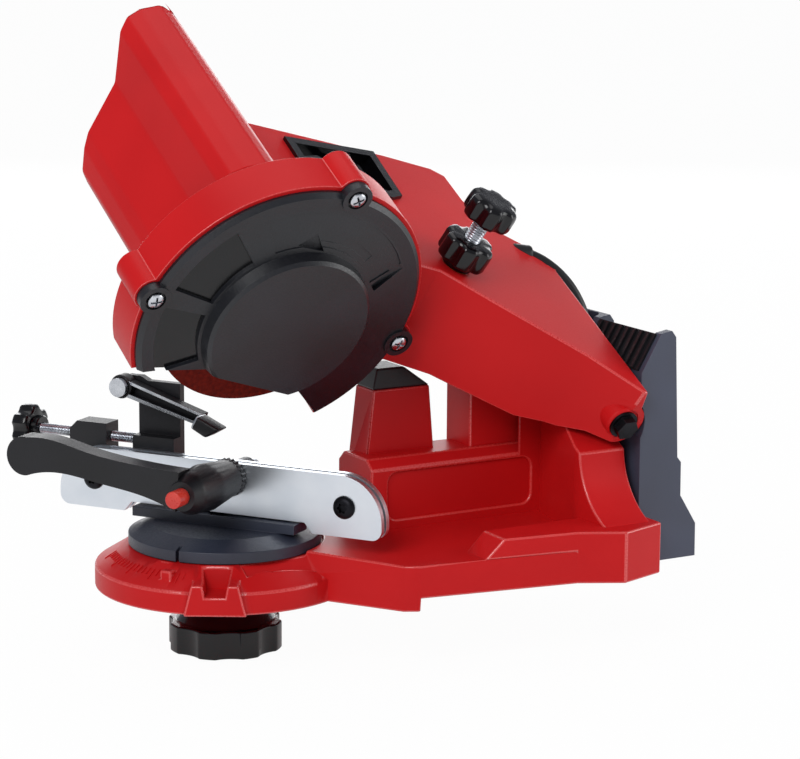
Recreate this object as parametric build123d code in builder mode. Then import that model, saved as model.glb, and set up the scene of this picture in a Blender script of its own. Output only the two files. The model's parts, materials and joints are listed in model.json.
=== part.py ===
from build123d import *
import os
from math import cos, pi, radians, sin, tan

os.makedirs("parts", exist_ok=True)

# Electric chainsaw sharpener, millimetres. Z is up, the bench face is z = 0 and the
# origin is where the swivel axis of the vice meets it. +X points to the hinge end.

# ------------------------------------------------------------------ driving sizes
wall = 3.0  # moulded walls
run_gap = 0.05  # radial clearance of turning shafts
slide_gap = 0.04  # radial clearance of sliding rods
seat_gap = 0.3  # between moving mouldings
bolt_gap = 0.15  # radial clearance of clamped screws

# Head: tilted away from the operator, hinged at the rear
head_tilt = 30.0
head_centre = (4.0, -38.5, 129.5)  # middle of the grinding disc
disc_d = 108.0
disc_t = 3.2
disc_bore_d = 23.0
hinge_x = 158.0  # hinge seen from the disc, along the arm
hinge_y = -31.0

# Vice: shown turned to the end of its scale
vice_angle = 55.0

# Base
flange_r = 59.5
flange_bottom = -6.0
flange_rim_z = 4.0
flange_top_r = 45.0
flange_top_z = 13.0
neck_half = 48.0
neck_end_x = 20.5
bench_edge_x = 52.8
deck_z = 15.0
deck_near_y = -88.7
deck_far_y = 76.0
base_rear_x = 172.0
foot_z = 24.0
spine_z = 48.5
spine_near_y = -25.0
spine_far_y = 7.0
spine_front_x = 63.0
spine_top_near_y = -20.0
spine_top_far_y = 2.0
post_front_x = 68.2
post_z = 78.5
post_near_y = -10.4
post_far_y = 7.0
pad_h = 10.1
tower_front_x = 120.0
tower_near_y = -18.0
tower_far_y = 4.0
bench_bolt_d = 8.5
bench_bolt_y = 62.0
bench_bolt_x = (64.0, 150.0)
pocket = 25.0
pocket_rib = 3.5

# Hinge
bolt_r = 4.0
sleeve_r = 5.5
barrel_r = 8.0
barrel_near = 48.0  # towards the operator, from the disc plane
barrel_far = -29.5
boss_r = 11.0
boss_near_end = 72.0
boss_far_end = -43.0
spring_wire_r = 0.9
spring_r = barrel_r + spring_wire_r + seat_gap
spring_start = -22.0
spring_h = 18.0

# Arm
arm_slope = 16.6
ridge_x = 70.0
ridge_y = 15.0
arm_bottom = -40.0
arm_far_w = 94.0
arm_rear_x = 166.0
rear_start_x = 137.0

# Guard
guard_r = 69.5
guard_depth_near = 9.0
guard_depth_far = 12.0
cover_r = 67.5
cover_hub_r = 38.5
cover_hub_z = 22.0
lug_angles = (73.0, 165.0, -17.0)
lug_circle_r = 67.0
lug_r = 7.0

# Motor
motor_r = 21.0
motor_front = -20.0
motor_back = -78.0
motor_bay_depth = 85.0
housing_end_y = 46.0

# Vice
plate_half = 83.5
plate_mid = -2.0
plate_top = 51.0
plate_bottom = 22.7
plate_t = 3.0
slot_half = 1.0
plate_back = plate_t + slot_half
plate_screw_u = 65.0
plate_screw_z = 36.5
plate_screw_r = 2.5
vice_block_u = 84.0
collar_front = 8.0
turntable_r = 44.1
turntable_bottom = 13.4
turntable_top = 22.0
swivel_bolt_r = 4.0
clamp_u = 4.8
clamp_z = 44.5
clamp_bolt_r = 4.0
knob_r = 26.5
knob_bottom = -36.4

# Chain stop
stop_axis_z = 54.0
stop_axis_v = -10.5
stop_rod_r = 2.5
pawl_u = -57.0
pawl_z = 79.3
pawl_pin_r = 2.2
bracket_back = 14.5
bracket_t = 4.0
stop_knob_u = -110.0

# Depth stop
depth_x = 96.3
depth_w = 6.9
depth_rod_r = 4.0
depth_rod_below = 50.5

depth_insert_r = 6.5

# Switch
bezel_outline = [
    (38.5, arm_far_w - 8.0),
    (93.0, arm_far_w - 2.0),
    (91.0, arm_far_w - 38.0),
    (83.0, arm_far_w - 42.0),
    (51.0, arm_far_w - 24.0),
    (38.0, arm_far_w - 29.0),
]
bezel_depth = 8.0
bezel_floor = 3.5
rocker_l = 20.0
rocker_w = 11.0
rocker_pin_r = 1.2
rocker_mid_x = 72.0
rocker_mid_w = arm_far_w - 17.0

# Guard screws
guard_screw_r = 2.0

# Rear housing
rear_near_y = -83.5
rear_far_y = 4.0
lead_r = 3.2

# ------------------------------------------------------------------ planes
tilt = radians(head_tilt)
turn = radians(vice_angle)
slope = radians(arm_slope)

# Head plane: x along the arm, y up the disc, z towards the operator
head_plane = Plane(origin=head_centre, x_dir=(1, 0, 0), z_dir=(0, -cos(tilt), -sin(tilt)))
# Vice plane: x along the guide plates, z up
vice_plane = Plane(origin=(0, 0, 0), x_dir=(cos(turn), -sin(turn), 0), z_dir=(0, 0, 1))
# Plate plane: x along the guide plates, y up, z towards the operator
plate_plane = Plane(
    origin=(0, 0, 0), x_dir=(cos(turn), -sin(turn), 0), z_dir=(-sin(turn), -cos(turn), 0)
)


def head_point(x, y, z=0.0):
    return head_plane.from_local_coords(Vector(x, y, z))


def head_direction(x, y, z=0.0):
    return head_point(x, y, z) - head_point(0, 0, 0)


# Top of the arm: x down its slope, y away from the operator, z up along the depth screw
screw_direction = head_direction(sin(slope), cos(slope))
arm_plane = Plane(
    origin=head_point(ridge_x, ridge_y),
    x_dir=head_direction(cos(slope), -sin(slope)),
    z_dir=screw_direction,
)
hinge_plane = Plane(
    origin=head_point(hinge_x, hinge_y), x_dir=head_plane.x_dir, z_dir=head_plane.z_dir
)
depth_t = (depth_x - ridge_x) / cos(slope)
depth_plane = Plane(
    origin=arm_plane.from_local_coords(Vector(depth_t, depth_w, 0)),
    x_dir=arm_plane.x_dir,
    z_dir=screw_direction,
)


rocker_t = (rocker_mid_x - ridge_x) / cos(slope)
rocker_plane = Plane(
    origin=arm_plane.from_local_coords(Vector(rocker_t, rocker_mid_w, -bezel_depth + 1.8)),
    x_dir=arm_plane.x_dir,
    z_dir=screw_direction,
)
# Across the switch: x down the slope, y up, z towards the operator
rocker_pin_plane = Plane(
    origin=rocker_plane.origin, x_dir=arm_plane.x_dir, z_dir=head_plane.z_dir
)
# Along the chain stop screw: z along the guide plates
stop_plane = Plane(
    origin=plate_plane.from_local_coords(Vector(0, stop_axis_z, stop_axis_v)),
    x_dir=(0, 0, 1),
    z_dir=vice_plane.x_dir,
)


def on_arm(points):
    """Points (x along the head, w away from the operator) as points of the arm's top."""
    return [((x - ridge_x) / cos(slope), w) for x, w in points]


def polygon(points):
    Polygon(*points, align=None)


def star_sketch(radius, lobes, notch_r, notch_in):
    """Round knob outline with a finger notch between each pair of lobes."""
    Circle(radius)
    with PolarLocations(radius + notch_r - notch_in, lobes, start_angle=180 / lobes):
        Circle(notch_r, mode=Mode.SUBTRACT)


# ------------------------------------------------------------------ base housing
neck_flare_x = 45.7
foot_near = [(128.0, -100.0), (147.5, -110.0), (base_rear_x, -102.0)]
base_outline = [
    (-12.0, -neck_half),
    (neck_end_x, -neck_half),
    (neck_flare_x, deck_near_y + 3.7),
    (bench_edge_x, deck_near_y),
    *foot_near,
    (base_rear_x, deck_far_y),
    (bench_edge_x, deck_far_y),
    (neck_flare_x, deck_far_y - 3.7),
    (neck_end_x, neck_half),
    (-12.0, neck_half),
]
lip_outline = [
    (-12.0, -neck_half),
    (neck_end_x, -neck_half),
    (neck_flare_x, deck_near_y + 3.7),
    (bench_edge_x, deck_near_y),
    (bench_edge_x, deck_far_y),
    (neck_flare_x, deck_far_y - 3.7),
    (neck_end_x, neck_half),
    (-12.0, neck_half),
]
under_arm = arm_bottom - 6.0  # head height that the pillar stays under


def under_arm_z(y):
    """World height of the line under the arm, at world y."""
    w = (y - head_centre[1] + under_arm * sin(tilt)) / cos(tilt)
    return head_centre[2] + under_arm * cos(tilt) + w * sin(tilt)


pillar_back_x = 155.0
web_x = (hinge_x + head_centre[0] - 6.0, hinge_x + head_centre[0] + 4.0)
scoop_x = 143.0
scoop_top_y = -77.0
index_angle = 239.5

with BuildPart() as base_housing:
    # Round flange with its cone
    with BuildSketch(Plane.XZ):
        polygon(
            [
                (0, flange_bottom),
                (flange_r, flange_bottom),
                (flange_r, flange_rim_z),
                (flange_top_r, flange_top_z),
                (0, flange_top_z),
            ]
        )
    revolve(axis=Axis.Z)
    # Deck, and the lip that stops against the bench edge
    with BuildSketch(Plane.XY):
        polygon(base_outline)
    extrude(amount=deck_z)
    # Bevel along both sides of the neck, running out on the flare
    for side, flare_y in ((-1, -deck_near_y - 3.7), (1, deck_far_y - 3.7)):
        for x, edge_y, height in (
            (-13.0, neck_half, deck_z - 4),
            (neck_end_x, neck_half, deck_z - 4),
            (neck_flare_x, flare_y, 2.0),
        ):
            with BuildSketch(Plane.YZ.offset(x)):
                polygon(
                    [
                        (side * (edge_y + 1), deck_z + 1 - height),
                        (side * (edge_y + 1), deck_z + 1),
                        (side * (edge_y + 1 - height), deck_z + 1),
                    ]
                )
        loft(ruled=True, mode=Mode.SUBTRACT)
    with BuildSketch(Plane.XY.offset(flange_bottom)):
        polygon(lip_outline)
    extrude(amount=-flange_bottom)
    # Foot under the hinge, with its slanted front flank
    with BuildSketch(Plane.XZ.offset(-deck_near_y - 12.0)):
        polygon(
            [
                (83.0, deck_z),
                (base_rear_x, deck_z),
                (base_rear_x, foot_z),
                (92.0, foot_z),
            ]
        )
    extrude(amount=40.0)
    with BuildSketch(Plane.XY.offset(deck_z - 1)):
        polygon([(50, deck_near_y), *foot_near, (base_rear_x + 10, -140), (50, -140)])
    extrude(amount=20, mode=Mode.SUBTRACT)
    # Spine with chamfered shoulders
    with BuildSketch(Plane.YZ.offset(spine_front_x)):
        polygon(
            [
                (spine_near_y, deck_z),
                (spine_near_y, spine_z - 4.5),
                (spine_top_near_y, spine_z),
                (spine_top_far_y, spine_z),
                (spine_far_y, spine_z - 4.5),
                (spine_far_y, deck_z),
            ]
        )
    extrude(amount=base_rear_x - spine_front_x)
    # Stop post
    with BuildSketch(Plane.XZ.offset(-post_far_y)):
        polygon(
            [
                (post_front_x, spine_z - 4.5),
                (post_front_x + 4, post_z),
                (post_front_x + 34, post_z),
                (post_front_x + 37, spine_z - 4.5),
            ]
        )
    extrude(amount=post_far_y - post_near_y)
    # Tower under the arm
    with BuildSketch(Plane.YZ.offset(tower_front_x)):
        polygon(
            [
                (tower_near_y, deck_z),
                (tower_near_y, under_arm_z(tower_near_y)),
                (tower_far_y, under_arm_z(tower_far_y)),
                (tower_far_y, deck_z),
            ]
        )
    extrude(amount=web_x[0] - tower_front_x)
    # Near pillar, its front hollowed down to the foot
    with BuildSketch(Plane.YZ.offset(scoop_x)):
        with BuildLine():
            scoop = Spline(
                (scoop_top_y, under_arm_z(scoop_top_y)),
                (scoop_top_y - 3.0, 42.0),
                (scoop_top_y - 11.0, 31.0),
                (scoop_top_y - 22.0, foot_z),
            )
            Polyline(
                scoop @ 1,
                (scoop_top_y - 22.0, deck_z - 1),
                (spine_near_y + 1.0, deck_z - 1),
                (spine_near_y + 1.0, under_arm_z(spine_near_y)),
                scoop @ 0,
            )
        make_face()
    extrude(amount=base_rear_x - 4 - scoop_x)
    with BuildSketch(Plane.XY.offset(deck_z)):
        polygon(
            [
                (scoop_x - 1, scoop_top_y + 5.0),
                (scoop_x, scoop_top_y + 5.0),
                (pillar_back_x, spine_near_y),
                (scoop_x - 1, spine_near_y),
            ]
        )
    extrude(amount=80.0, mode=Mode.SUBTRACT)
    with BuildSketch(hinge_plane.offset(barrel_far)):
        Circle(barrel_r)
    extrude(amount=barrel_near - barrel_far)
    near_foot = head_plane.from_local_coords(Vector(hinge_x, hinge_y, barrel_near))
    near_heel = head_plane.from_local_coords(Vector(hinge_x, hinge_y - 20.0, barrel_near))
    far_foot = head_plane.from_local_coords(Vector(hinge_x, hinge_y, barrel_far))
    with BuildSketch(Plane.YZ.offset(web_x[0])):
        polygon(
            [
                (near_foot.Y, near_foot.Z),
                (near_heel.Y, near_heel.Z),
                (near_heel.Y, deck_z),
                (far_foot.Y + 8, deck_z),
                (far_foot.Y, far_foot.Z),
            ]
        )
    extrude(amount=web_x[1] - web_x[0])
    # Room in the web for the torsion spring
    with BuildSketch(hinge_plane.offset(spring_start - 2.0)):
        Circle(spring_r + spring_wire_r + 1.0)
        Circle(barrel_r, mode=Mode.SUBTRACT)
    extrude(amount=spring_h + 4.0, mode=Mode.SUBTRACT)
    # Seat of the turntable
    with BuildSketch(Plane.XY.offset(flange_top_z)):
        Circle(turntable_r + 1.0)
    extrude(amount=10, mode=Mode.SUBTRACT)
    # Index block on the rim, with its U notch and the groove behind it
    index_turn = radians(index_angle)
    index_plane = Plane(
        origin=((flange_r + 1.5) * cos(index_turn), (flange_r + 1.5) * sin(index_turn), 0),
        x_dir=(-sin(index_turn), cos(index_turn), 0),
        z_dir=(cos(index_turn), sin(index_turn), 0),
    )
    with BuildSketch(index_plane):
        polygon([(-14, flange_bottom), (14, flange_bottom), (10.5, 8), (-10.5, 8)])
    extrude(amount=-9)
    with BuildSketch(index_plane):
        polygon([(-4.5, 2.6), (4.5, 2.6), (6.5, flange_top_z + 1), (-6.5, flange_top_z + 1)])
    extrude(amount=-(flange_r + 1.5 - flange_top_r - 0.5), mode=Mode.SUBTRACT)
    # Pointer box of the angle scale
    with BuildSketch(Plane(origin=(0, 0, flange_rim_z), x_dir=(1, 0, 0), z_dir=(0, 0, 1))):
        with PolarLocations(51.5, 1, start_angle=214.5):
            Rectangle(5, 5.5)
    extrude(amount=7.5)
    # Bolt and hinge bores
    with BuildSketch(Plane.XY.offset(flange_bottom)):
        Circle(swivel_bolt_r + run_gap)
    extrude(amount=30, mode=Mode.SUBTRACT)
    with BuildSketch(hinge_plane.offset(barrel_far - 1)):
        Circle(sleeve_r + run_gap / 5)
    extrude(amount=barrel_near - barrel_far + 2, mode=Mode.SUBTRACT)
    with BuildSketch(Plane.XY):
        with Locations(*[(x, bench_bolt_y) for x in bench_bolt_x]):
            Circle(bench_bolt_d / 2)
    extrude(amount=deck_z, mode=Mode.SUBTRACT)
    # Ribbed underside
    with BuildSketch(Plane.XY):
        with Locations((110.5, -38.0)):
            with GridLocations(pocket + pocket_rib, pocket + pocket_rib, 4, 3):
                Rectangle(pocket, pocket)
        with Locations((110.5, 26.0)):
            with GridLocations(pocket + pocket_rib, pocket + pocket_rib, 4, 1):
                Rectangle(pocket, pocket)
    extrude(amount=deck_z - wall, mode=Mode.SUBTRACT)
    with BuildSketch(Plane.XY):
        with Locations((pillar_back_x + 8.0, spine_near_y - 29.0)):
            with GridLocations(1, 24, 1, 2):
                Rectangle(8, 20)
    extrude(amount=42, mode=Mode.SUBTRACT)
base_housing.part.label = "base_housing"
export_step(base_housing.part, "parts/base_housing.step")
print("base_housing", base_housing.part.is_valid, len(base_housing.part.solids()))

# ------------------------------------------------------------------ stop pad on the post
pad_front_x = post_front_x + 4.5
with BuildPart() as stop_pad:
    with BuildSketch(Plane.XZ.offset(-post_far_y - 0.5)):
        polygon(
            [
                (pad_front_x - 1, post_z),
                (pad_front_x + 1, post_z + pad_h),
                (pad_front_x + 15.5, post_z + pad_h),
                (pad_front_x + 29.5, post_z),
            ]
        )
    extrude(amount=post_far_y - post_near_y + 1)
stop_pad.part.label = "stop_pad"
export_step(stop_pad.part, "parts/stop_pad.step")

# ------------------------------------------------------------------ rear housing
ridge_z = 107.5
ridge_front_x = 182.6
bay_floor_x = 182.0
bay_wall = 2.4
shoe_y = -55.5
shoe_width = 46.0
shoe_foot_z = 52.0
shoe_t = 4.0
vent_foot_x = base_rear_x
vent_foot_z = 90.0
rear_wall_x = 192.5
lead_entry_y = -20.0
rear_outline = [
    (base_rear_x, 0),
    (base_rear_x, vent_foot_z),
    (ridge_front_x, ridge_z),
    (188.7, ridge_z + 1),
    (191.0, 105.4),
    (193.4, 48.5),
    (195.5, 46.0),
    (195.7, 30.0),
    (204.6, 15.8),
    (204.8, 0),
]
with BuildPart() as rear_housing:
    with BuildSketch(Plane.XZ.offset(-rear_far_y)):
        polygon(rear_outline)
    extrude(amount=rear_far_y - rear_near_y)
    with BuildSketch(Plane.XZ.offset(-rear_far_y + wall)):
        polygon(
            [
                (base_rear_x + wall, 3),
                (base_rear_x + wall, vent_foot_z - 2),
                (ridge_front_x + 0.5, ridge_z - 4),
                (188.0, ridge_z - 4),
                (190.0, 44.0),
                (192.0, 28.0),
                (200.0, 14.0),
                (200.0, 3),
            ]
        )
    extrude(amount=rear_far_y - rear_near_y - 2 * wall, mode=Mode.SUBTRACT)
    # Bay for the battery's shoe, open at the top, with walls of its own
    with BuildSketch(Plane.XZ.offset(-shoe_y - shoe_width / 2 - bay_wall)):
        polygon(
            [
                (bay_floor_x - bay_wall, shoe_foot_z - bay_wall),
                (192.8, shoe_foot_z - bay_wall),
                (190.6, ridge_z - 3),
                (188.4, ridge_z - 0.5),
                (bay_floor_x + 1, ridge_z - 2),
                (bay_floor_x - bay_wall, ridge_z - 6),
            ]
        )
    extrude(amount=shoe_width + 2 * bay_wall)
    with BuildSketch(Plane.XY.offset(shoe_foot_z)):
        with Locations((bay_floor_x, shoe_y)):
            Rectangle(30.0, shoe_width, align=(Align.MIN, Align.CENTER))
    extrude(amount=ridge_z, mode=Mode.SUBTRACT)
    # Room for the near hinge boss
    with BuildSketch(hinge_plane.offset(barrel_near - 4.0)):
        Circle(boss_r + 1.2)
    extrude(amount=boss_near_end - barrel_near + 6.0, mode=Mode.SUBTRACT)
    # Slot in the top for the lead
    with BuildSketch(Plane.XY.offset(ridge_z - 12)):
        with Locations((182.5, lead_entry_y)):
            SlotOverall(5 * lead_r, 3.2 * lead_r, rotation=90)
    extrude(amount=20, mode=Mode.SUBTRACT)
rear_housing.part.label = "rear_housing"
export_step(rear_housing.part, "parts/rear_housing.step")

# ------------------------------------------------------------------ vent grille
vent_length = ((ridge_front_x - vent_foot_x) ** 2 + (ridge_z - vent_foot_z) ** 2) ** 0.5
vent_plane = Plane(
    origin=(vent_foot_x, 0, vent_foot_z),
    x_dir=((ridge_front_x - vent_foot_x) / vent_length, 0, (ridge_z - vent_foot_z) / vent_length),
    z_dir=(-(ridge_z - vent_foot_z) / vent_length, 0, (ridge_front_x - vent_foot_x) / vent_length),
)
rib_pitch = 5.5
vent_count = 8
vent_near_y = rear_near_y + 4.0
with BuildPart() as vent_grille:
    with BuildSketch(vent_plane):
        with Locations((vent_length / 2, vent_near_y + rib_pitch * vent_count / 2)):
            Rectangle(vent_length - 1.5, rib_pitch * vent_count + 2)
    extrude(amount=1.2)
    with BuildSketch(vent_plane.offset(1.2)):
        with Locations((vent_length / 2, vent_near_y + rib_pitch * vent_count / 2)):
            with GridLocations(1, rib_pitch, 1, vent_count):
                Rectangle(vent_length - 2.5, 1.8)
    extrude(amount=1.3)
vent_grille.part.label = "vent_grille"
export_step(vent_grille.part, "parts/vent_grille.step")

# ------------------------------------------------------------------ battery slide
rail_front_x = bay_floor_x + seat_gap + shoe_t
rail_reach = 4.4
with BuildPart() as battery_shoe:
    with BuildSketch(Plane.XY.offset(shoe_foot_z + seat_gap)):
        with Locations((bay_floor_x + seat_gap, shoe_y)):
            Rectangle(shoe_t, shoe_width - 2 * seat_gap, align=(Align.MIN, Align.CENTER))
        for side in (-1, 1):
            with Locations((rail_front_x, shoe_y + side * 15.0)):
                Rectangle(rail_reach, 3.0, align=(Align.MIN, Align.CENTER))
            with Locations((rail_front_x + rail_reach - 1.8, shoe_y + side * 16.5)):
                Rectangle(1.8, 7.0, align=(Align.MIN, Align.CENTER))
    extrude(amount=46.0)
battery_shoe.part.label = "battery_shoe"
export_step(battery_shoe.part, "parts/battery_shoe.step")

with BuildPart() as battery_contacts:
    with BuildSketch(Plane.XY.offset(shoe_foot_z + 8.0)):
        with Locations((rail_front_x + rail_reach / 2, shoe_y)):
            with GridLocations(1, 10.0, 1, 3):
                Rectangle(rail_reach, 1.0)
    extrude(amount=12.0)
battery_contacts.part.label = "battery_contacts"
export_step(battery_contacts.part, "parts/battery_contacts.step")

board_x = bay_floor_x - bay_wall - seat_gap
board_t = 1.6
with BuildPart() as control_board:
    with BuildSketch(Plane.XZ.offset(24.0)):
        with Locations((board_x - board_t / 2, 41.5)):
            Rectangle(board_t, 77.0)
    extrude(amount=50.0)
    with BuildSketch(Plane.YZ.offset(board_x)):
        with Locations((-49.0, 22.0)):
            Rectangle(50.0, 4.0)
    extrude(amount=8.0)
control_board.part.label = "control_board"
export_step(control_board.part, "parts/control_board.step")

# ------------------------------------------------------------------ hinge hardware
with BuildPart() as hinge_sleeve:
    with BuildSketch(hinge_plane.offset(boss_far_end)):
        Circle(sleeve_r)
        Circle(bolt_r + bolt_gap, mode=Mode.SUBTRACT)
    extrude(amount=boss_near_end - 2.0 - boss_far_end)
hinge_sleeve.part.label = "hinge_sleeve"
export_step(hinge_sleeve.part, "parts/hinge_sleeve.step")

with BuildPart() as hinge_bolt:
    with BuildSketch(hinge_plane.offset(boss_far_end - 9.0)):
        Circle(bolt_r)
    extrude(amount=boss_near_end - 2.0 - boss_far_end + 9.0)
    with BuildSketch(hinge_plane.offset(boss_near_end - 2.0)):
        Circle(7.0)
    extrude(amount=1.2)
    with BuildSketch(hinge_plane.offset(boss_near_end - 0.8)):
        RegularPolygon(5.6, 6)
    extrude(amount=4.0)
hinge_bolt.part.label = "hinge_bolt"
export_step(hinge_bolt.part, "parts/hinge_bolt.step")

with BuildPart() as hinge_nut:
    with BuildSketch(hinge_plane.offset(boss_far_end)):
        RegularPolygon(6.5, 6)
        Circle(bolt_r, mode=Mode.SUBTRACT)
    extrude(amount=-6.5)
hinge_nut.part.label = "hinge_nut"
export_step(hinge_nut.part, "parts/hinge_nut.step")

# Torsion spring round the barrel
with BuildPart() as return_spring:
    with BuildLine() as spring_path:
        Helix(3.0, spring_h, spring_r, hinge_plane.offset(spring_start).origin, hinge_plane.z_dir)
    with BuildSketch(Plane(origin=spring_path.line @ 0, z_dir=spring_path.line % 0)):
        Circle(spring_wire_r)
    sweep(is_frenet=True)
return_spring.part.label = "return_spring"
export_step(return_spring.part, "parts/return_spring.step")

# ------------------------------------------------------------------ turntable and swivel
turntable_rim_z = 18.5
turntable_top_r = 33.0
notch_z = 27.3
with BuildPart() as turntable:
    with BuildSketch(Plane.XZ):
        polygon(
            [
                (0, turntable_bottom),
                (turntable_r, turntable_bottom),
                (turntable_r, turntable_rim_z),
                (turntable_top_r, turntable_top),
                (0, turntable_top),
            ]
        )
    revolve(axis=Axis.Z)
    # Pointer notch in the rim
    with BuildSketch(vice_plane.offset(turntable_bottom)):
        with Locations((0, -turntable_r)):
            Rectangle(1.6, 8.0)
    extrude(amount=turntable_top - turntable_bottom, mode=Mode.SUBTRACT)
    # Block that carries the plates: low towards the operator, tall behind them
    with BuildSketch(vice_plane.offset(turntable_top)):
        with Locations((plate_mid, -2.0)):
            Rectangle(vice_block_u, 13.0)
    extrude(amount=notch_z - turntable_top - 0.8)
    with BuildSketch(vice_plane.offset(turntable_top)):
        with Locations((clamp_u, plate_back + 7.5)):
            Rectangle(40, 15.0)
    extrude(amount=clamp_z - turntable_top)
    with BuildSketch(plate_plane.offset(-plate_back)):
        with Locations((clamp_u, clamp_z)):
            Circle(6.0)
    extrude(amount=-9.0)
    with BuildSketch(vice_plane.offset(turntable_bottom)):
        Circle(swivel_bolt_r + bolt_gap)
    extrude(amount=12, mode=Mode.SUBTRACT)
    with BuildSketch(vice_plane.offset(turntable_top - 2.0)):
        RegularPolygon(7.6, 6)
    extrude(amount=8, mode=Mode.SUBTRACT)
    with BuildSketch(plate_plane.offset(-plate_back)):
        with Locations((clamp_u, clamp_z)):
            Circle(clamp_bolt_r + run_gap)
    extrude(amount=-16, mode=Mode.SUBTRACT)
turntable.part.label = "turntable"
export_step(turntable.part, "parts/turntable.step")

with BuildPart() as swivel_bolt:
    with BuildSketch(vice_plane.offset(turntable_top - 2.0)):
        RegularPolygon(7.3, 6)
    extrude(amount=5.5)
    with BuildSketch(vice_plane.offset(knob_bottom + 5.0)):
        Circle(swivel_bolt_r)
    extrude(amount=turntable_top - 2.0 - knob_bottom - 5.0)
swivel_bolt.part.label = "swivel_bolt"
export_step(swivel_bolt.part, "parts/swivel_bolt.step")

# ------------------------------------------------------------------ guide plates
plate_outline = [
    (plate_mid - plate_half, plate_bottom),
    (plate_mid - 49.0, plate_bottom),
    (plate_mid - 45.0, notch_z),
    (plate_mid + 45.0, notch_z),
    (plate_mid + 49.0, plate_bottom),
    (plate_mid + plate_half, plate_bottom),
    (plate_mid + plate_half, plate_top),
    (plate_mid - plate_half, plate_top),
]
plate_top_r = 21.0
plate_corner_r = 5.0
screw_spots = [(plate_mid - plate_screw_u, plate_screw_z), (plate_mid + plate_screw_u, plate_screw_z)]


def plate_sketch():
    polygon(plate_outline)
    corners = vertices()
    fillet(corners.group_by(Axis.Y)[-1], plate_top_r)
    fillet(vertices().group_by(Axis.Y)[0].sort_by(Axis.X)[0::3], plate_corner_r)
    with Locations(*screw_spots):
        Circle(plate_screw_r + bolt_gap, mode=Mode.SUBTRACT)
    with Locations((clamp_u, clamp_z)):
        Circle(clamp_bolt_r + run_gap, mode=Mode.SUBTRACT)


with BuildPart() as near_plate:
    with BuildSketch(plate_plane.offset(slot_half)):
        plate_sketch()
    extrude(amount=plate_t)
near_plate.part.label = "near_plate"
export_step(near_plate.part, "parts/near_plate.step")

with BuildPart() as far_plate:
    with BuildSketch(plate_plane.offset(-slot_half - plate_t)):
        plate_sketch()
    extrude(amount=plate_t)
far_plate.part.label = "far_plate"
export_step(far_plate.part, "parts/far_plate.step")

with BuildPart() as plate_spacers:
    with BuildSketch(plate_plane.offset(-slot_half)):
        with Locations(*screw_spots):
            Circle(6.5)
            Circle(plate_screw_r + bolt_gap, mode=Mode.SUBTRACT)
    extrude(amount=2 * slot_half)
plate_spacers.part.label = "plate_spacers"
export_step(plate_spacers.part, "parts/plate_spacers.step")

with BuildPart() as plate_screws:
    with BuildSketch(plate_plane.offset(-plate_back - 3.5)):
        with Locations(*screw_spots):
            Circle(plate_screw_r)
    extrude(amount=2 * plate_back + 3.5)
    with BuildSketch(plate_plane.offset(plate_back)):
        with Locations(*screw_spots):
            Circle(5.3)
    extrude(amount=2.2, taper=20)
    with BuildSketch(plate_plane.offset(plate_back + 1.0)):
        with Locations(*screw_spots):
            RegularPolygon(1.9, 6)
    extrude(amount=3, mode=Mode.SUBTRACT)
plate_screws.part.label = "plate_screws"
export_step(plate_screws.part, "parts/plate_screws.step")

# ------------------------------------------------------------------ lock knob
knob_side_h = 13.0
with BuildPart() as lock_knob:
    with BuildSketch(Plane.XY.offset(knob_bottom)):
        star_sketch(knob_r, 8, 14.0, 2.2)
    extrude(amount=knob_side_h)
    with BuildSketch(Plane.XY.offset(knob_bottom + knob_side_h)):
        Circle(knob_r - 4.0)
    with BuildSketch(Plane.XY.offset(flange_bottom - 2.2)):
        Circle(13.0)
    loft()
    with BuildSketch(Plane.XY.offset(knob_bottom + 4.0)):
        Circle(swivel_bolt_r + run_gap)
    extrude(amount=40, mode=Mode.SUBTRACT)
lock_knob.part.label = "lock_knob"
export_step(lock_knob.part, "parts/lock_knob.step")

with BuildPart() as lock_washer:
    with BuildSketch(Plane.XY.offset(flange_bottom - 1.8)):
        Circle(12.0)
        Circle(swivel_bolt_r + run_gap, mode=Mode.SUBTRACT)
    extrude(amount=1.6)
lock_washer.part.label = "lock_washer"
export_step(lock_washer.part, "parts/lock_washer.step")

# ------------------------------------------------------------------ clamp lever
lever_near = 47.0
lever_far = 37.0
hub_front = 48.0
button_r = 3.9
with BuildPart() as clamp_lever:
    with BuildSketch(plate_plane.offset(collar_front)):
        with Locations((clamp_u, clamp_z)):
            Circle(8.7)
    with BuildSketch(plate_plane.offset(28.0)):
        with Locations((clamp_u, clamp_z)):
            Circle(10.8)
    with BuildSketch(plate_plane.offset(hub_front - 6.0)):
        with Locations((clamp_u, clamp_z)):
            Circle(9.5)
    with BuildSketch(plate_plane.offset(hub_front)):
        with Locations((clamp_u, clamp_z)):
            Circle(6.6)
    loft(ruled=True)
    with BuildSketch(plate_plane.offset(lever_far)):
        with BuildLine():
            top = Spline(
                (clamp_u - 2, 55.0), (-25.0, 56.7), (-47.0, 59.9), (-60.0, 62.8), (-76.0, 63.2)
            )
            tip = ThreePointArc(top @ 1, (-86.5, 56.5), (-76.0, 45.6))
            Spline(
                tip @ 1, (-56.0, 48.3), (-38.0, 45.8), (-22.0, 43.6), (clamp_u - 4, 37.0)
            )
            Line((clamp_u - 4, 37.0), (clamp_u - 2, 55.0))
        make_face()
    extrude(amount=lever_near - lever_far)
    with BuildSketch(plate_plane.offset(collar_front)):
        with Locations((clamp_u, clamp_z)):
            Circle(clamp_bolt_r)
    extrude(amount=24.0, mode=Mode.SUBTRACT)
    with BuildSketch(plate_plane.offset(collar_front + 24.0)):
        with Locations((clamp_u, clamp_z)):
            Circle(button_r + 0.1)
    extrude(amount=30.0, mode=Mode.SUBTRACT)
clamp_lever.part.label = "clamp_lever"
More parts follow.
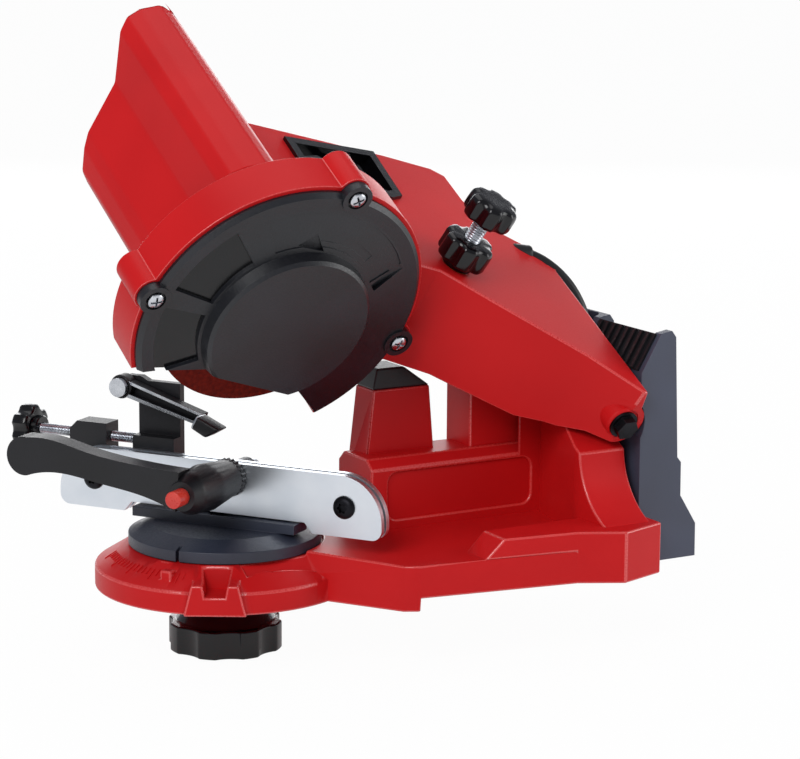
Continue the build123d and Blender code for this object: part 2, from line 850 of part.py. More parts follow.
export_step(clamp_lever.part, "parts/clamp_lever.step")

with BuildPart() as clamp_collar:
    with BuildSketch(plate_plane.offset(plate_back + 0.3)):
        with Locations((clamp_u, clamp_z)):
            star_sketch(9.0, 24, 1.0, 0.5)
            Circle(clamp_bolt_r, mode=Mode.SUBTRACT)
    extrude(amount=collar_front - plate_back - 0.3)
clamp_collar.part.label = "clamp_collar"
export_step(clamp_collar.part, "parts/clamp_collar.step")

with BuildPart() as clamp_bolt:
    with BuildSketch(plate_plane.offset(-plate_back - 15.0)):
        with Locations((clamp_u, clamp_z)):
            Circle(clamp_bolt_r)
    extrude(amount=plate_back + 15.0 + collar_front + 24.0)
clamp_bolt.part.label = "clamp_bolt"
export_step(clamp_bolt.part, "parts/clamp_bolt.step")

with BuildPart() as lever_button:
    with BuildSketch(plate_plane.offset(hub_front - 6.0)):
        with Locations((clamp_u, clamp_z)):
            Circle(button_r)
    extrude(amount=14.0)
lever_button.part.label = "lever_button"
export_step(lever_button.part, "parts/lever_button.step")

# ------------------------------------------------------------------ chain stop
with BuildPart() as stop_guide:
    with BuildSketch(vice_plane.offset(40.0)):
        with Locations((-75.0, plate_back + 5.5)):
            Rectangle(20.0, 11.0)
    extrude(amount=21.0)
    rounded = stop_guide.edges().filter_by(lambda e: abs(e.center().Z - 61.0) < 0.1)
    chamfer(rounded.sort_by(Axis.X)[0], 4.0)
    with BuildSketch(stop_plane.offset(-90.0)):
        Circle(stop_rod_r + slide_gap)
    extrude(amount=30.0, mode=Mode.SUBTRACT)
stop_guide.part.label = "stop_guide"
export_step(stop_guide.part, "parts/stop_guide.step")

with BuildPart() as stop_bracket:
    with BuildSketch(plate_plane.offset(-bracket_back)):
        polygon(
            [
                (-51.0, 44.0),
                (-29.0, 44.0),
                (-29.0, 82.0),
                (-46.0, 82.0),
                (-50.0, 84.0),
                (pawl_u, 84.0),
                (pawl_u - 4.5, pawl_z),
                (pawl_u, 75.0),
                (-51.0, 74.0),
            ]
        )
    extrude(amount=bracket_t)
    with BuildSketch(plate_plane.offset(-plate_back - seat_gap)):
        with Locations((-40.0, 50.0)):
            Rectangle(22.0, 14.0)
    extrude(amount=-(bracket_back - plate_back - seat_gap))
    with BuildSketch(stop_plane.offset(-60.0)):
        Circle(stop_rod_r)
    extrude(amount=16.0, mode=Mode.SUBTRACT)
    with BuildSketch(plate_plane.offset(-bracket_back - 1)):
        with Locations((pawl_u, pawl_z)):
            Circle(pawl_pin_r)
    extrude(amount=bracket_t + 2, mode=Mode.SUBTRACT)
stop_bracket.part.label = "stop_bracket"
export_step(stop_bracket.part, "parts/stop_bracket.step")

with BuildPart() as stop_screw:
    with BuildSketch(stop_plane.offset(stop_knob_u)):
        Circle(stop_rod_r)
    extrude(amount=-44.0 - stop_knob_u)
stop_screw.part.label = "stop_screw"
export_step(stop_screw.part, "parts/stop_screw.step")

with BuildPart() as stop_knob:
    with BuildSketch(stop_plane.offset(stop_knob_u - 6.0)):
        star_sketch(11.0, 6, 5.0, 1.8)
    extrude(amount=9.0)
    with BuildSketch(stop_plane.offset(stop_knob_u + 3.0)):
        Circle(6.0)
    extrude(amount=3.0)
    with BuildSketch(stop_plane.offset(stop_knob_u)):
        Circle(stop_rod_r + run_gap)
    extrude(amount=10.0, mode=Mode.SUBTRACT)
stop_knob.part.label = "stop_knob"
export_step(stop_knob.part, "parts/stop_knob.step")

pawl_back = -9.7
with BuildPart() as pawl:
    with BuildSketch(plate_plane.offset(pawl_back)):
        polygon([(pawl_u + 1.2, 83.4), (-13.0, 70.6), (-15.5, 63.8), (pawl_u - 1.2, 75.2)])
        with Locations((pawl_u, pawl_z)):
            Circle(4.4)
            Circle(pawl_pin_r + run_gap, mode=Mode.SUBTRACT)
    extrude(amount=5.5)
    with BuildSketch(plate_plane.offset(-7.0)):
        polygon([(-17.0, 64.5), (-14.0, 70.8), (-1.2, 65.2), (-9.5, 60.2)])
    extrude(amount=9.0)
pawl.part.label = "pawl"
export_step(pawl.part, "parts/pawl.step")

with BuildPart() as pawl_pin:
    with BuildSketch(plate_plane.offset(-bracket_back - 2.0)):
        with Locations((pawl_u, pawl_z)):
            Circle(pawl_pin_r)
    extrude(amount=13.0)
    with BuildSketch(plate_plane.offset(-bracket_back - 2.0)):
        with Locations((pawl_u, pawl_z)):
            Circle(4.0)
    extrude(amount=-2.0)
    with BuildSketch(plate_plane.offset(pawl_back + 5.7)):
        with Locations((pawl_u, pawl_z)):
            Circle(4.4)
    extrude(amount=3.0)
pawl_pin.part.label = "pawl_pin"
export_step(pawl_pin.part, "parts/pawl_pin.step")

# ------------------------------------------------------------------ arm and motor housing
lead_route = [
    (147.0, 0.5, 136.0),
    (156.0, -1.0, 136.3),
    (164.5, -4.5, 133.5),
    (172.0, -9.0, 127.6),
    (177.8, -13.0, 120.0),
    (181.3, -17.0, 111.0),
    (183.0, lead_entry_y, 102.0),
    (183.0, lead_entry_y - 2.0, 93.0),
]
arm_outline = on_arm(
    [
        (14.0, guard_depth_far + 0.3),
        (ridge_x + 0.5, guard_depth_far + 0.3),
        (ridge_x + 0.5, 0.0),
        (83.4, -1.0),
        (106.7, -20.0),
        (142.7, -48.0),
        (163.7, -70.0),
        (arm_rear_x, -70.0),
        (arm_rear_x, 32.6),
        (152.0, 40.6),
        (146.8, 43.8),
        (135.5, 68.0),
        (135.5, arm_far_w - 6.0),
        (128.6, arm_far_w - 1.7),
        (101.0, arm_far_w),
        (14.0, arm_far_w),
    ]
)
arm_inside = on_arm(
    [
        (40.0, guard_depth_far + 3.3),
        (75.0, guard_depth_far + 3.3),
        (75.0, 3.2),
        (84.8, 2.5),
        (108.0, -16.2),
        (144.5, -44.5),
        (161.0, -62.0),
        (arm_rear_x - wall, -62.0),
        (arm_rear_x - wall, 30.5),
        (150.0, 38.0),
        (144.3, 41.8),
        (132.5, 66.5),
        (132.5, arm_far_w - 8.0),
        (127.5, arm_far_w - 4.5),
        (100.5, arm_far_w - wall),
        (40.0, arm_far_w - wall),
    ]
)
# Rear end of the arm, square to the hinge: (x, w)
rear_outside = [
    (rear_start_x, -40.0),
    (142.7, -48.0),
    (163.7, -70.0),
    (arm_rear_x, -70.0),
    (arm_rear_x, 32.6),
    (152.0, 40.6),
    (146.8, 43.8),
    (rear_start_x, 52.0),
]
rear_inside = [
    (rear_start_x - 1.0, -36.0),
    (144.0, -45.0),
    (146.0, -barrel_near - seat_gap),
    (arm_rear_x - wall, -barrel_near - seat_gap),
    (arm_rear_x - wall, -barrel_far + seat_gap),
    (150.0, 37.5),
    (144.5, 41.0),
    (rear_start_x - 1.0, 50.0),
]
motor_outline = [
    (-52.6, 3.0),
    (-51.5, 12.0),
    (-49.5, 18.0),
    (-36.0, 37.0),
    (-33.0, 57.0),
    (-29.5, 62.5),
    (-23.0, 65.5),
    (-13.2, 66.8),
    (-8.0, 64.5),
    (-3.5, 60.0),
    (31.0, 17.5),
    (31.0, -4.0),
    (18.0, -26.0),
    (-20.0, -30.0),
    (-34.0, -20.0),
    (-50.0, -2.0),
]
housing_start = -guard_depth_far - 0.3
lug_spots = [
    (lug_circle_r * cos(radians(a)), lug_circle_r * sin(radians(a))) for a in lug_angles
]
arm_depth = 70.0
# Plan of the head: x along the arm, y away from the operator, z up the disc
plan_plane = Plane(origin=head_centre, x_dir=(1, 0, 0), z_dir=head_plane.y_dir)

with BuildPart() as arm_hollow:
    with BuildSketch(arm_plane):
        polygon(arm_inside)
    extrude(amount=-arm_depth)
    with BuildSketch(plan_plane.offset(arm_bottom - 8.0)):
        polygon(rear_inside)
    extrude(amount=arm_depth + 3.0)
    with BuildSketch(arm_plane.offset(-wall)):
        Rectangle(500.0, 500.0)
    extrude(amount=200.0, mode=Mode.SUBTRACT)

# Motor bay, closed behind by a wall of its own
with BuildPart() as motor_bay:
    with BuildSketch(head_plane.offset(housing_start)):
        polygon(motor_outline)
        offset(amount=-wall - 0.5, kind=Kind.INTERSECTION, mode=Mode.REPLACE)
    extrude(amount=-motor_bay_depth)
    with BuildSketch(Plane.XZ.offset(wall - housing_end_y)):
        Rectangle(500.0, 500.0)
    extrude(amount=-200.0, mode=Mode.SUBTRACT)

with BuildPart() as arm_housing:
    with BuildSketch(arm_plane):
        polygon(arm_outline)
    extrude(amount=-arm_depth)
    with BuildSketch(plan_plane.offset(arm_bottom - 7.0)):
        polygon(rear_outside)
    extrude(amount=arm_depth)
    with BuildSketch(arm_plane):
        Rectangle(500.0, 500.0)
    extrude(amount=200.0, mode=Mode.SUBTRACT)
    with BuildSketch(head_plane):
        polygon(
            [
                (-70.0, arm_bottom),
                (86.0, arm_bottom),
                (120.0, arm_bottom - 7.0),
                (136.0, arm_bottom - 5.0),
                (146.0, arm_bottom - 2.0),
                (160.0, arm_bottom - 2.0),
                (arm_rear_x, arm_bottom + 4.0),
                (230.0, arm_bottom + 4.0),
                (230.0, arm_bottom - 100.0),
                (-70.0, arm_bottom - 100.0),
            ]
        )
    extrude(amount=200.0, both=True, mode=Mode.SUBTRACT)
    with BuildSketch(head_plane.offset(housing_start)):
        polygon(motor_outline)
    extrude(amount=-140.0)
    with BuildSketch(Plane.XZ.offset(-housing_end_y)):
        Rectangle(1200.0, 1200.0)
    extrude(amount=-200.0, mode=Mode.SUBTRACT)
    # Room for the guard ring
    with BuildSketch(head_plane.offset(guard_depth_near)):
        Circle(guard_r + seat_gap)
        with Locations(*lug_spots):
            Circle(lug_r + 1.0 + seat_gap)
    extrude(amount=housing_start - guard_depth_near, mode=Mode.SUBTRACT)
    add(motor_bay.part, mode=Mode.SUBTRACT)
    # Inside of the arm, open below
    add(arm_hollow.part, mode=Mode.SUBTRACT)
    with BuildSketch(head_plane.offset(barrel_near + seat_gap)):
        with Locations((arm_rear_x, -20.0 - 25.0)):
            Rectangle(14.0, 50.0)
    extrude(amount=barrel_far - barrel_near - 2 * seat_gap, mode=Mode.SUBTRACT)
    # Hinge bosses
    with BuildSketch(hinge_plane.offset(barrel_near + seat_gap)):
        Circle(boss_r)
    extrude(amount=boss_near_end - barrel_near - seat_gap)
    with BuildSketch(hinge_plane.offset(barrel_far - seat_gap)):
        Circle(boss_r)
    extrude(amount=boss_far_end + seat_gap - barrel_far)
    with BuildSketch(hinge_plane.offset(boss_near_end - 2.5)):
        Circle(8.0)
    extrude(amount=30, mode=Mode.SUBTRACT)
    with BuildSketch(hinge_plane.offset(boss_far_end - 1)):
        Circle(sleeve_r + run_gap)
    extrude(amount=130, mode=Mode.SUBTRACT)
    # Hole for the lead
    for start, end in zip(lead_route[:3], lead_route[1:4]):
        run = Vector(*end) - Vector(*start)
        with BuildSketch(Plane(origin=start, z_dir=run).offset(-3.0)):
            Circle(lead_r + 0.8)
        extrude(amount=run.length + 6.0, mode=Mode.SUBTRACT)
    # Boss of the depth screw
    with BuildSketch(depth_plane.offset(-wall)):
        Circle(9.5)
    extrude(amount=-12.0)
    with BuildSketch(depth_plane.offset(1.0)):
        Circle(depth_insert_r)
    extrude(amount=-25.0, mode=Mode.SUBTRACT)
    # Opening for the switch
    with BuildSketch(arm_plane.offset(1.0)):
        polygon(on_arm(bezel_outline))
        offset(amount=-1.5, kind=Kind.INTERSECTION, mode=Mode.REPLACE)
    extrude(amount=-bezel_depth - 1.5, mode=Mode.SUBTRACT)
arm_housing.part.label = "arm_housing"
export_step(arm_housing.part, "parts/arm_housing.step")
print("arm_housing", arm_housing.part.is_valid, len(arm_housing.part.solids()))

# ------------------------------------------------------------------ guard
opening_outline = [
    (-90.0, -26.0),
    (-63.0, -23.0),
    (-30.0, -22.0),
    (16.0, -39.0),
    (32.5, -58.5),
    (45.0, -95.0),
    (-90.0, -95.0),
]
with BuildPart() as guard_back:
    with BuildSketch(head_plane.offset(-guard_depth_far)):
        Circle(guard_r)
        with Locations(*lug_spots):
            Circle(lug_r + 1.0)
    extrude(amount=guard_depth_near + guard_depth_far)
    with BuildSketch(head_plane.offset(-guard_depth_far + wall)):
        Circle(guard_r - wall)
    extrude(amount=40.0, mode=Mode.SUBTRACT)
    with BuildSketch(head_plane.offset(-guard_depth_far)):
        with Locations(*lug_spots):
            Circle(lug_r + 1.0)
    extrude(amount=guard_depth_near + guard_depth_far)
    with BuildSketch(head_plane.offset(-guard_depth_far + wall)):
        Circle(disc_d / 2 + 3.0)
    extrude(amount=40.0, mode=Mode.SUBTRACT)
    with BuildSketch(head_plane.offset(-guard_depth_far - 1)):
        polygon(opening_outline)
    extrude(amount=40.0, mode=Mode.SUBTRACT)
    with BuildSketch(head_plane.offset(-guard_depth_far)):
        Circle(13.0)
    extrude(amount=wall, mode=Mode.SUBTRACT)
    with BuildSketch(head_plane.offset(guard_depth_near - 12)):
        with Locations(*lug_spots):
            Circle(guard_screw_r + bolt_gap)
    extrude(amount=20.0, mode=Mode.SUBTRACT)
guard_back.part.label = "guard_back"
export_step(guard_back.part, "parts/guard_back.step")

cover_t = 2.5
with BuildPart() as guard_cover:
    with BuildSketch(Plane(origin=head_centre, x_dir=head_plane.x_dir, z_dir=-head_plane.y_dir)):
        polygon(
            [
                (0, cover_hub_z),
                (cover_hub_r - 1.5, cover_hub_z),
                (cover_hub_r, cover_hub_z - 1.5),
                (cover_hub_r + 1.0, 15.5),
                (60.0, 12.5),
                (65.5, 12.5),
                (cover_r, 10.5),
                (cover_r, guard_depth_near),
                (61.0, guard_depth_near),
                (58.0, 10.0),
                (cover_hub_r - 1.5, 13.0),
                (cover_hub_r - 2.5, cover_hub_z - cover_t),
                (0, cover_hub_z - cover_t),
            ]
        )
    revolve(axis=Axis(head_centre, head_plane.z_dir))
    with BuildSketch(head_plane.offset(guard_depth_near)):
        with Locations(*lug_spots):
            Circle(lug_r)
    extrude(amount=4.5)
    with BuildSketch(head_plane.offset(guard_depth_near)):
        Circle(disc_d / 2 + 3.0)
    extrude(amount=1.0, mode=Mode.SUBTRACT)
    with BuildSketch(head_plane):
        polygon(opening_outline)
    extrude(amount=40.0, mode=Mode.SUBTRACT)
    with BuildSketch(head_plane):
        with Locations(*lug_spots):
            Circle(guard_screw_r + bolt_gap)
    extrude(amount=40.0, mode=Mode.SUBTRACT)
guard_cover.part.label = "guard_cover"
export_step(guard_cover.part, "parts/guard_cover.step")
print("guard_cover", guard_cover.part.is_valid, len(guard_cover.part.solids()))

with BuildPart() as guard_screws:
    with BuildSketch(head_plane.offset(guard_depth_near + 4.5)):
        with Locations(*lug_spots):
            Circle(4.0)
    extrude(amount=2.4, taper=15)
    with BuildSketch(head_plane.offset(guard_depth_near - 11.0)):
        with Locations(*lug_spots):
            Circle(guard_screw_r)
    extrude(amount=15.5)
guard_screws.part.label = "guard_screws"
export_step(guard_screws.part, "parts/guard_screws.step")

# ------------------------------------------------------------------ motor and spindle
spindle_r = 4.0
with BuildPart() as motor:
    with BuildSketch(head_plane.offset(motor_front)):
        Circle(motor_r)
    extrude(amount=motor_back - motor_front)
    with BuildSketch(head_plane.offset(motor_front)):
        Circle(9.0)
    extrude(amount=6.0)
    with BuildSketch(head_plane.offset(motor_front - 12.0)):
        Circle(spindle_r + run_gap)
    extrude(amount=30.0, mode=Mode.SUBTRACT)
motor.part.label = "motor"
export_step(motor.part, "parts/motor.step")

with BuildPart() as motor_mount:
    with BuildSketch(head_plane.offset(housing_start)):
        polygon(motor_outline)
        offset(amount=-wall - 0.5 - seat_gap, kind=Kind.INTERSECTION, mode=Mode.REPLACE)
        Circle(9.3, mode=Mode.SUBTRACT)
    extrude(amount=-4.0)
    with BuildSketch(head_plane.offset(motor_front + 3.7)):
        Circle(motor_r + 2.0)
        Circle(motor_r, mode=Mode.SUBTRACT)
    extrude(amount=-30.0)
motor_mount.part.label = "motor_mount"
export_step(motor_mount.part, "parts/motor_mount.step")

with BuildPart() as spindle:
    with BuildSketch(head_plane.offset(motor_front - 11.0)):
        Circle(spindle_r)
    extrude(amount=11.0 - motor_front + 15.0)
spindle.part.label = "spindle"
export_step(spindle.part, "parts/spindle.step")

with BuildPart() as inner_flange:
    with BuildSketch(head_plane.offset(-disc_t / 2)):
        Circle(17.0)
        Circle(spindle_r, mode=Mode.SUBTRACT)
    extrude(amount=-4.5)
    with BuildSketch(head_plane.offset(-disc_t / 2)):
        Circle(disc_bore_d / 2 - run_gap)
        Circle(spindle_r, mode=Mode.SUBTRACT)
    extrude(amount=disc_t)
inner_flange.part.label = "inner_flange"
export_step(inner_flange.part, "parts/inner_flange.step")

with BuildPart() as grinding_disc:
    with BuildSketch(head_plane.offset(-disc_t / 2)):
        Circle(disc_d / 2)
        Circle(disc_bore_d / 2, mode=Mode.SUBTRACT)
    extrude(amount=disc_t)
grinding_disc.part.label = "grinding_disc"
export_step(grinding_disc.part, "parts/grinding_disc.step")

with BuildPart() as outer_flange:
    with BuildSketch(head_plane.offset(disc_t / 2)):
        Circle(17.0)
        Circle(spindle_r, mode=Mode.SUBTRACT)
    extrude(amount=2.5)
outer_flange.part.label = "outer_flange"
export_step(outer_flange.part, "parts/outer_flange.step")

with BuildPart() as disc_nut:
    with BuildSketch(head_plane.offset(disc_t / 2 + 2.5)):
        RegularPolygon(7.5, 6)
        Circle(spindle_r, mode=Mode.SUBTRACT)
    extrude(amount=6.5)
disc_nut.part.label = "disc_nut"
export_step(disc_nut.part, "parts/disc_nut.step")

# ------------------------------------------------------------------ switch
with BuildPart() as switch_bezel:
    with BuildSketch(arm_plane):
        polygon(on_arm(bezel_outline))
        offset(amount=-4.5, kind=Kind.INTERSECTION, mode=Mode.SUBTRACT)
    extrude(amount=1.8)
    with BuildSketch(arm_plane.offset(-bezel_depth)):
        polygon(on_arm(bezel_outline))
        offset(amount=-1.8, kind=Kind.INTERSECTION, mode=Mode.REPLACE)
    extrude(amount=bezel_depth)
    with BuildSketch(arm_plane.offset(-bezel_depth + bezel_floor)):
        polygon(on_arm(bezel_outline))
        offset(amount=-4.5, kind=Kind.INTERSECTION, mode=Mode.REPLACE)
    extrude(amount=20.0, mode=Mode.SUBTRACT)
    with BuildSketch(rocker_plane):
        Rectangle(rocker_l + 0.8, rocker_w + 0.8)
    extrude(amount=20.0, both=True, mode=Mode.SUBTRACT)
    with BuildSketch(rocker_pin_plane):
        Circle(rocker_pin_r + run_gap)
    extrude(amount=rocker_w / 2 + 2.4, both=True, mode=Mode.SUBTRACT)
switch_bezel.part.label = "switch_bezel"
export_step(switch_bezel.part, "parts/switch_bezel.step")
print("switch_bezel", switch_bezel.part.is_valid, len(switch_bezel.part.solids()))

with BuildPart() as switch_rocker:
    with BuildSketch(rocker_pin_plane.offset(-rocker_w / 2)):
        polygon(
            [
                (-rocker_l / 2 + 0.4, -1.8),
                (rocker_l / 2 - 0.4, -1.8),
                (rocker_l / 2, 4.2),
                (0, 2.8),
                (-rocker_l / 2, 4.2),
            ]
        )
    extrude(amount=rocker_w)
    with BuildSketch(rocker_pin_plane):
        Circle(rocker_pin_r)
    extrude(amount=rocker_w / 2 + 2.0, both=True)
switch_rocker.part.label = "switch_rocker"
export_step(switch_rocker.part, "parts/switch_rocker.step")

with BuildPart() as switch_body:
    with BuildSketch(arm_plane.offset(-bezel_depth)):
        with Locations((rocker_t, rocker_mid_w)):
            Rectangle(rocker_l + 6.0, rocker_w + 6.0)
    extrude(amount=-16.0)
    with BuildSketch(arm_plane.offset(-bezel_depth)):
        with Locations((rocker_t, rocker_mid_w)):
            Rectangle(rocker_l + 0.8, rocker_w + 0.8)
    extrude(amount=-4.0, mode=Mode.SUBTRACT)
switch_body.part.label = "switch_body"
export_step(switch_body.part, "parts/switch_body.step")

# ------------------------------------------------------------------ depth stop
with BuildPart() as depth_insert:
    with BuildSketch(depth_plane):
        Circle(depth_insert_r)
        Circle(depth_rod_r + slide_gap, mode=Mode.SUBTRACT)
    extrude(amount=-wall - 12.0)
depth_insert.part.label = "depth_insert"
export_step(depth_insert.part, "parts/depth_insert.step")

depth_knob_t = 11.5
depth_rod_above = 34.0
with BuildPart() as depth_screw:
    with BuildSketch(depth_plane.offset(-depth_rod_below + 3.0)):
        Circle(depth_rod_r)
    extrude(amount=depth_rod_below - 3.0 + depth_rod_above)
    with BuildSketch(depth_plane.offset(-depth_rod_below + 3.0)):
        Circle(depth_rod_r)
    extrude(amount=-3.0, taper=35)
depth_screw.part.label = "depth_screw"
export_step(depth_screw.part, "parts/depth_screw.step")

with BuildPart() as depth_knob:
    with BuildSketch(depth_plane.offset(26.0)):
        star_sketch(12.2, 6, 5.0, 1.8)
    extrude(amount=depth_knob_t)
    with BuildSketch(depth_plane.offset(26.0)):
        Circle(depth_rod_r + run_gap)
    extrude(amount=depth_rod_above - 25.5, mode=Mode.SUBTRACT)
depth_knob.part.label = "depth_knob"
export_step(depth_knob.part, "parts/depth_knob.step")

with BuildPart() as depth_lock_nut:
    with BuildSketch(depth_plane.offset(3.0)):
        star_sketch(12.4, 6, 5.0, 1.8)
    extrude(amount=12.0)
    with BuildSketch(depth_plane.offset(0.3)):
        Circle(7.5)
    extrude(amount=2.7)
    with BuildSketch(depth_plane):
        Circle(depth_rod_r + run_gap)
    extrude(amount=30, mode=Mode.SUBTRACT)
depth_lock_nut.part.label = "depth_lock_nut"
export_step(depth_lock_nut.part, "parts/depth_lock_nut.step")

# ------------------------------------------------------------------ lead from arm to rear housing
lead_turns = []
for before, here, after in zip(lead_route, lead_route[1:], lead_route[2:]):
    run_in = Vector(here) - Vector(before)
    run_out = Vector(after) - Vector(here)
    half_turn = radians(run_in.get_angle(run_out)) / 2
    lead_turns.append(0.45 * min(run_in.length, run_out.length) / tan(half_turn))
print("lead bend radii", [round(r, 1) for r in lead_turns])
with BuildPart() as power_lead:
    with BuildLine() as lead_path:
        FilletPolyline(*lead_route, radius=lead_turns)
    with BuildSketch(Plane(origin=lead_path.line @ 0, z_dir=lead_path.line % 0)):
        Circle(lead_r)
    sweep()
lead_length = sum(piece.length for piece in lead_path.line.edges())
print("lead length", round(lead_length, 1), "volume share", power_lead.part.volume / (pi * lead_r**2 * lead_length))
power_lead.part.label = "power_lead"
export_step(power_lead.part, "parts/power_lead.step")
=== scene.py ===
import json
import math

import bpy
from mathutils import Matrix, Vector


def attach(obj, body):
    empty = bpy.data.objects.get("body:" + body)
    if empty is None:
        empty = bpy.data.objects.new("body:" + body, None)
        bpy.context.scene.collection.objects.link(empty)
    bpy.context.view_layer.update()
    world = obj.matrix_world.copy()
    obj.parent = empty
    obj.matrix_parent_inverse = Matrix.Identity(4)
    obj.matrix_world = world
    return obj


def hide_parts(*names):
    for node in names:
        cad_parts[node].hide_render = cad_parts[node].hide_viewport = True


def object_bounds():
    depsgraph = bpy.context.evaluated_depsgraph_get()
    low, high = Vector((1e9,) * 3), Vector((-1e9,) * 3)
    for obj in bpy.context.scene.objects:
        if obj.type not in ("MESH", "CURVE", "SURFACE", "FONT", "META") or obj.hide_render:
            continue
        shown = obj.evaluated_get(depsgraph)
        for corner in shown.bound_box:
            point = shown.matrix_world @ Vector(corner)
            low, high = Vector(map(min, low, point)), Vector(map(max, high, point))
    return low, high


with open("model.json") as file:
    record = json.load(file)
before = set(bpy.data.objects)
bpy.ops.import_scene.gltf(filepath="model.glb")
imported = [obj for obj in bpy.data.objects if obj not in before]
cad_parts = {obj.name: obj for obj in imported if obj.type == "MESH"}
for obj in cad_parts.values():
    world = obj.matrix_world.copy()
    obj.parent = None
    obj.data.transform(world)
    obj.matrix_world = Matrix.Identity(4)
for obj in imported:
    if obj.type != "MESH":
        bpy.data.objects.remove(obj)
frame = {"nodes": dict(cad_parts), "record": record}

cadLow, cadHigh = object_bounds()
bpy.ops.object.select_all(action="DESELECT")
print("frame loaded:", len(frame["nodes"]), "nodes")

mm = 0.001
degree = math.pi / 180


def basis(origin, xAxis, yAxis):
    zAxis = xAxis.cross(yAxis)
    turn = Matrix((xAxis, yAxis, zAxis)).transposed()
    return Matrix.Translation(Vector(origin) * mm) @ turn.to_4x4()


# The machine's own planes, the same as in the solids
planes = {
    "headOrigin": (4.0, -38.5, 129.5),
    "headTilt": 30.0,
    "viceAngle": 55.0,
    "armSlope": 16.6,
    "ridge": (70.0, 15.0),
    "hinge": (158.0, -31.0),
}
tilt = planes["headTilt"] * degree
discUp = Vector((0, -math.sin(tilt), math.cos(tilt)))
headMatrix = basis(planes["headOrigin"], Vector((1, 0, 0)), discUp)
turn = planes["viceAngle"] * degree
plateMatrix = basis((0, 0, 0), Vector((math.cos(turn), -math.sin(turn), 0)), Vector((0, 0, 1)))
slope = planes["armSlope"] * degree
headTurn = headMatrix.to_3x3()
armOrigin = headMatrix @ Vector((planes["ridge"][0] * mm, planes["ridge"][1] * mm, 0))
armX = headTurn @ Vector((math.cos(slope), -math.sin(slope), 0))
armZ = headTurn @ Vector((math.sin(slope), math.cos(slope), 0))
armMatrix = basis(armOrigin / mm, armX, armZ.cross(armX))
hingeMatrix = headMatrix @ Matrix.Translation(Vector((*planes["hinge"], 0)) * mm)

# ---- materials


def linear(code):
    parts = [int(code[i:i + 2], 16) / 255 for i in (1, 3, 5)]
    parts = [c / 12.92 if c <= 0.04045 else ((c + 0.055) / 1.055) ** 2.4 for c in parts]
    return (*parts, 1.0)


def addNode(tree, kind, links=None, **settings):
    node = tree.nodes.new(kind)
    for key, value in settings.items():
        setattr(node, key, value)
    for key, source in (links or {}).items():
        tree.links.new(source, node.inputs[key])
    return node


def newMaterial(name, values):
    material = bpy.data.materials.new(name)
    material.use_nodes = True
    tree = material.node_tree
    shader = tree.nodes["Principled BSDF"]
    for key, value in values.items():
        shader.inputs[key].default_value = value
    return material, tree, shader


def grainAndTone(tree, shader, spec):
    # Fine moulded or cast grain as bump, a slow drift of tone, and a little change in gloss
    place = addNode(tree, "ShaderNodeTexCoord").outputs["Object"]
    grain = addNode(tree, "ShaderNodeTexNoise", {"Vector": place})
    grain.inputs["Scale"].default_value = 1 / (spec["grainMm"] * mm)
    grain.inputs["Detail"].default_value = 3
    drift = addNode(tree, "ShaderNodeTexNoise", {"Vector": place})
    drift.inputs["Scale"].default_value = 1 / (spec["driftMm"] * mm)
    drift.inputs["Detail"].default_value = 2
    ramp = addNode(tree, "ShaderNodeValToRGB", {"Fac": drift.outputs["Fac"]})
    ramp.color_ramp.elements[0].position = 0.3
    ramp.color_ramp.elements[1].position = 0.7
    ramp.color_ramp.elements[0].color = linear(spec["dark"])
    ramp.color_ramp.elements[1].color = linear(spec["light"])
    tree.links.new(ramp.outputs["Color"], shader.inputs["Base Color"])
    gloss = addNode(tree, "ShaderNodeMapRange", {"Value": grain.outputs["Fac"]})
    gloss.inputs["From Min"].default_value = 0.3
    gloss.inputs["From Max"].default_value = 0.7
    gloss.inputs["To Min"].default_value = spec["rough"][0]
    gloss.inputs["To Max"].default_value = spec["rough"][1]
    tree.links.new(gloss.outputs["Result"], shader.inputs["Roughness"])
    bump = addNode(tree, "ShaderNodeBump", {"Height": grain.outputs["Fac"]})
    bump.inputs["Strength"].default_value = spec["bump"]
    bump.inputs["Distance"].default_value = spec["grainMm"] * mm * 0.25
    tree.links.new(bump.outputs["Normal"], shader.inputs["Normal"])


# Moulded ABS with spark-eroded grain: 0.15 mm, drawn at 0.6 mm so that it shows
redAbs, redTree, redShader = newMaterial("redAbsMoulded", {"IOR": 1.53, "Specular IOR Level": 0.16})
grainAndTone(redTree, redShader, {
    "grainMm": 0.6, "driftMm": 60, "dark": "#BE1417", "light": "#C9191B",
    "rough": (0.36, 0.46), "bump": 0.08})
# The same ABS on the small radii, glossier like a polished radius, and painted a paler red as a painted
# highlight along the edges
redEdgeHighlight, edgeTree, edgeShader = newMaterial(
    "redAbsGlossyPaintedHighlight", {"IOR": 1.53, "Specular IOR Level": 0.8})
grainAndTone(edgeTree, edgeShader, {
    "grainMm": 0.6, "driftMm": 60, "dark": "#CC2C2C", "light": "#D83C39",
    "rough": (0.24, 0.32), "bump": 0.03})
# Glass-filled nylon, matte black with a coarse grain
blackNylon, nylonTree, nylonShader = newMaterial(
    "blackNylonGlassFilled", {"IOR": 1.53, "Specular IOR Level": 0.4})
grainAndTone(nylonTree, nylonShader, {
    "grainMm": 0.7, "driftMm": 25, "dark": "#0B0B0E", "light": "#111116",
    "rough": (0.36, 0.50), "bump": 0.16})
# The same nylon with a coarser grain, on the disc cover
grainedNylon, grainedTree, grainedShader = newMaterial(
    "blackNylonCoarseGrain", {"IOR": 1.53, "Specular IOR Level": 0.5})
grainAndTone(grainedTree, grainedShader, {
    "grainMm": 0.9, "driftMm": 30, "dark": "#0D0E13", "light": "#171920",
    "rough": (0.30, 0.46), "bump": 0.35})
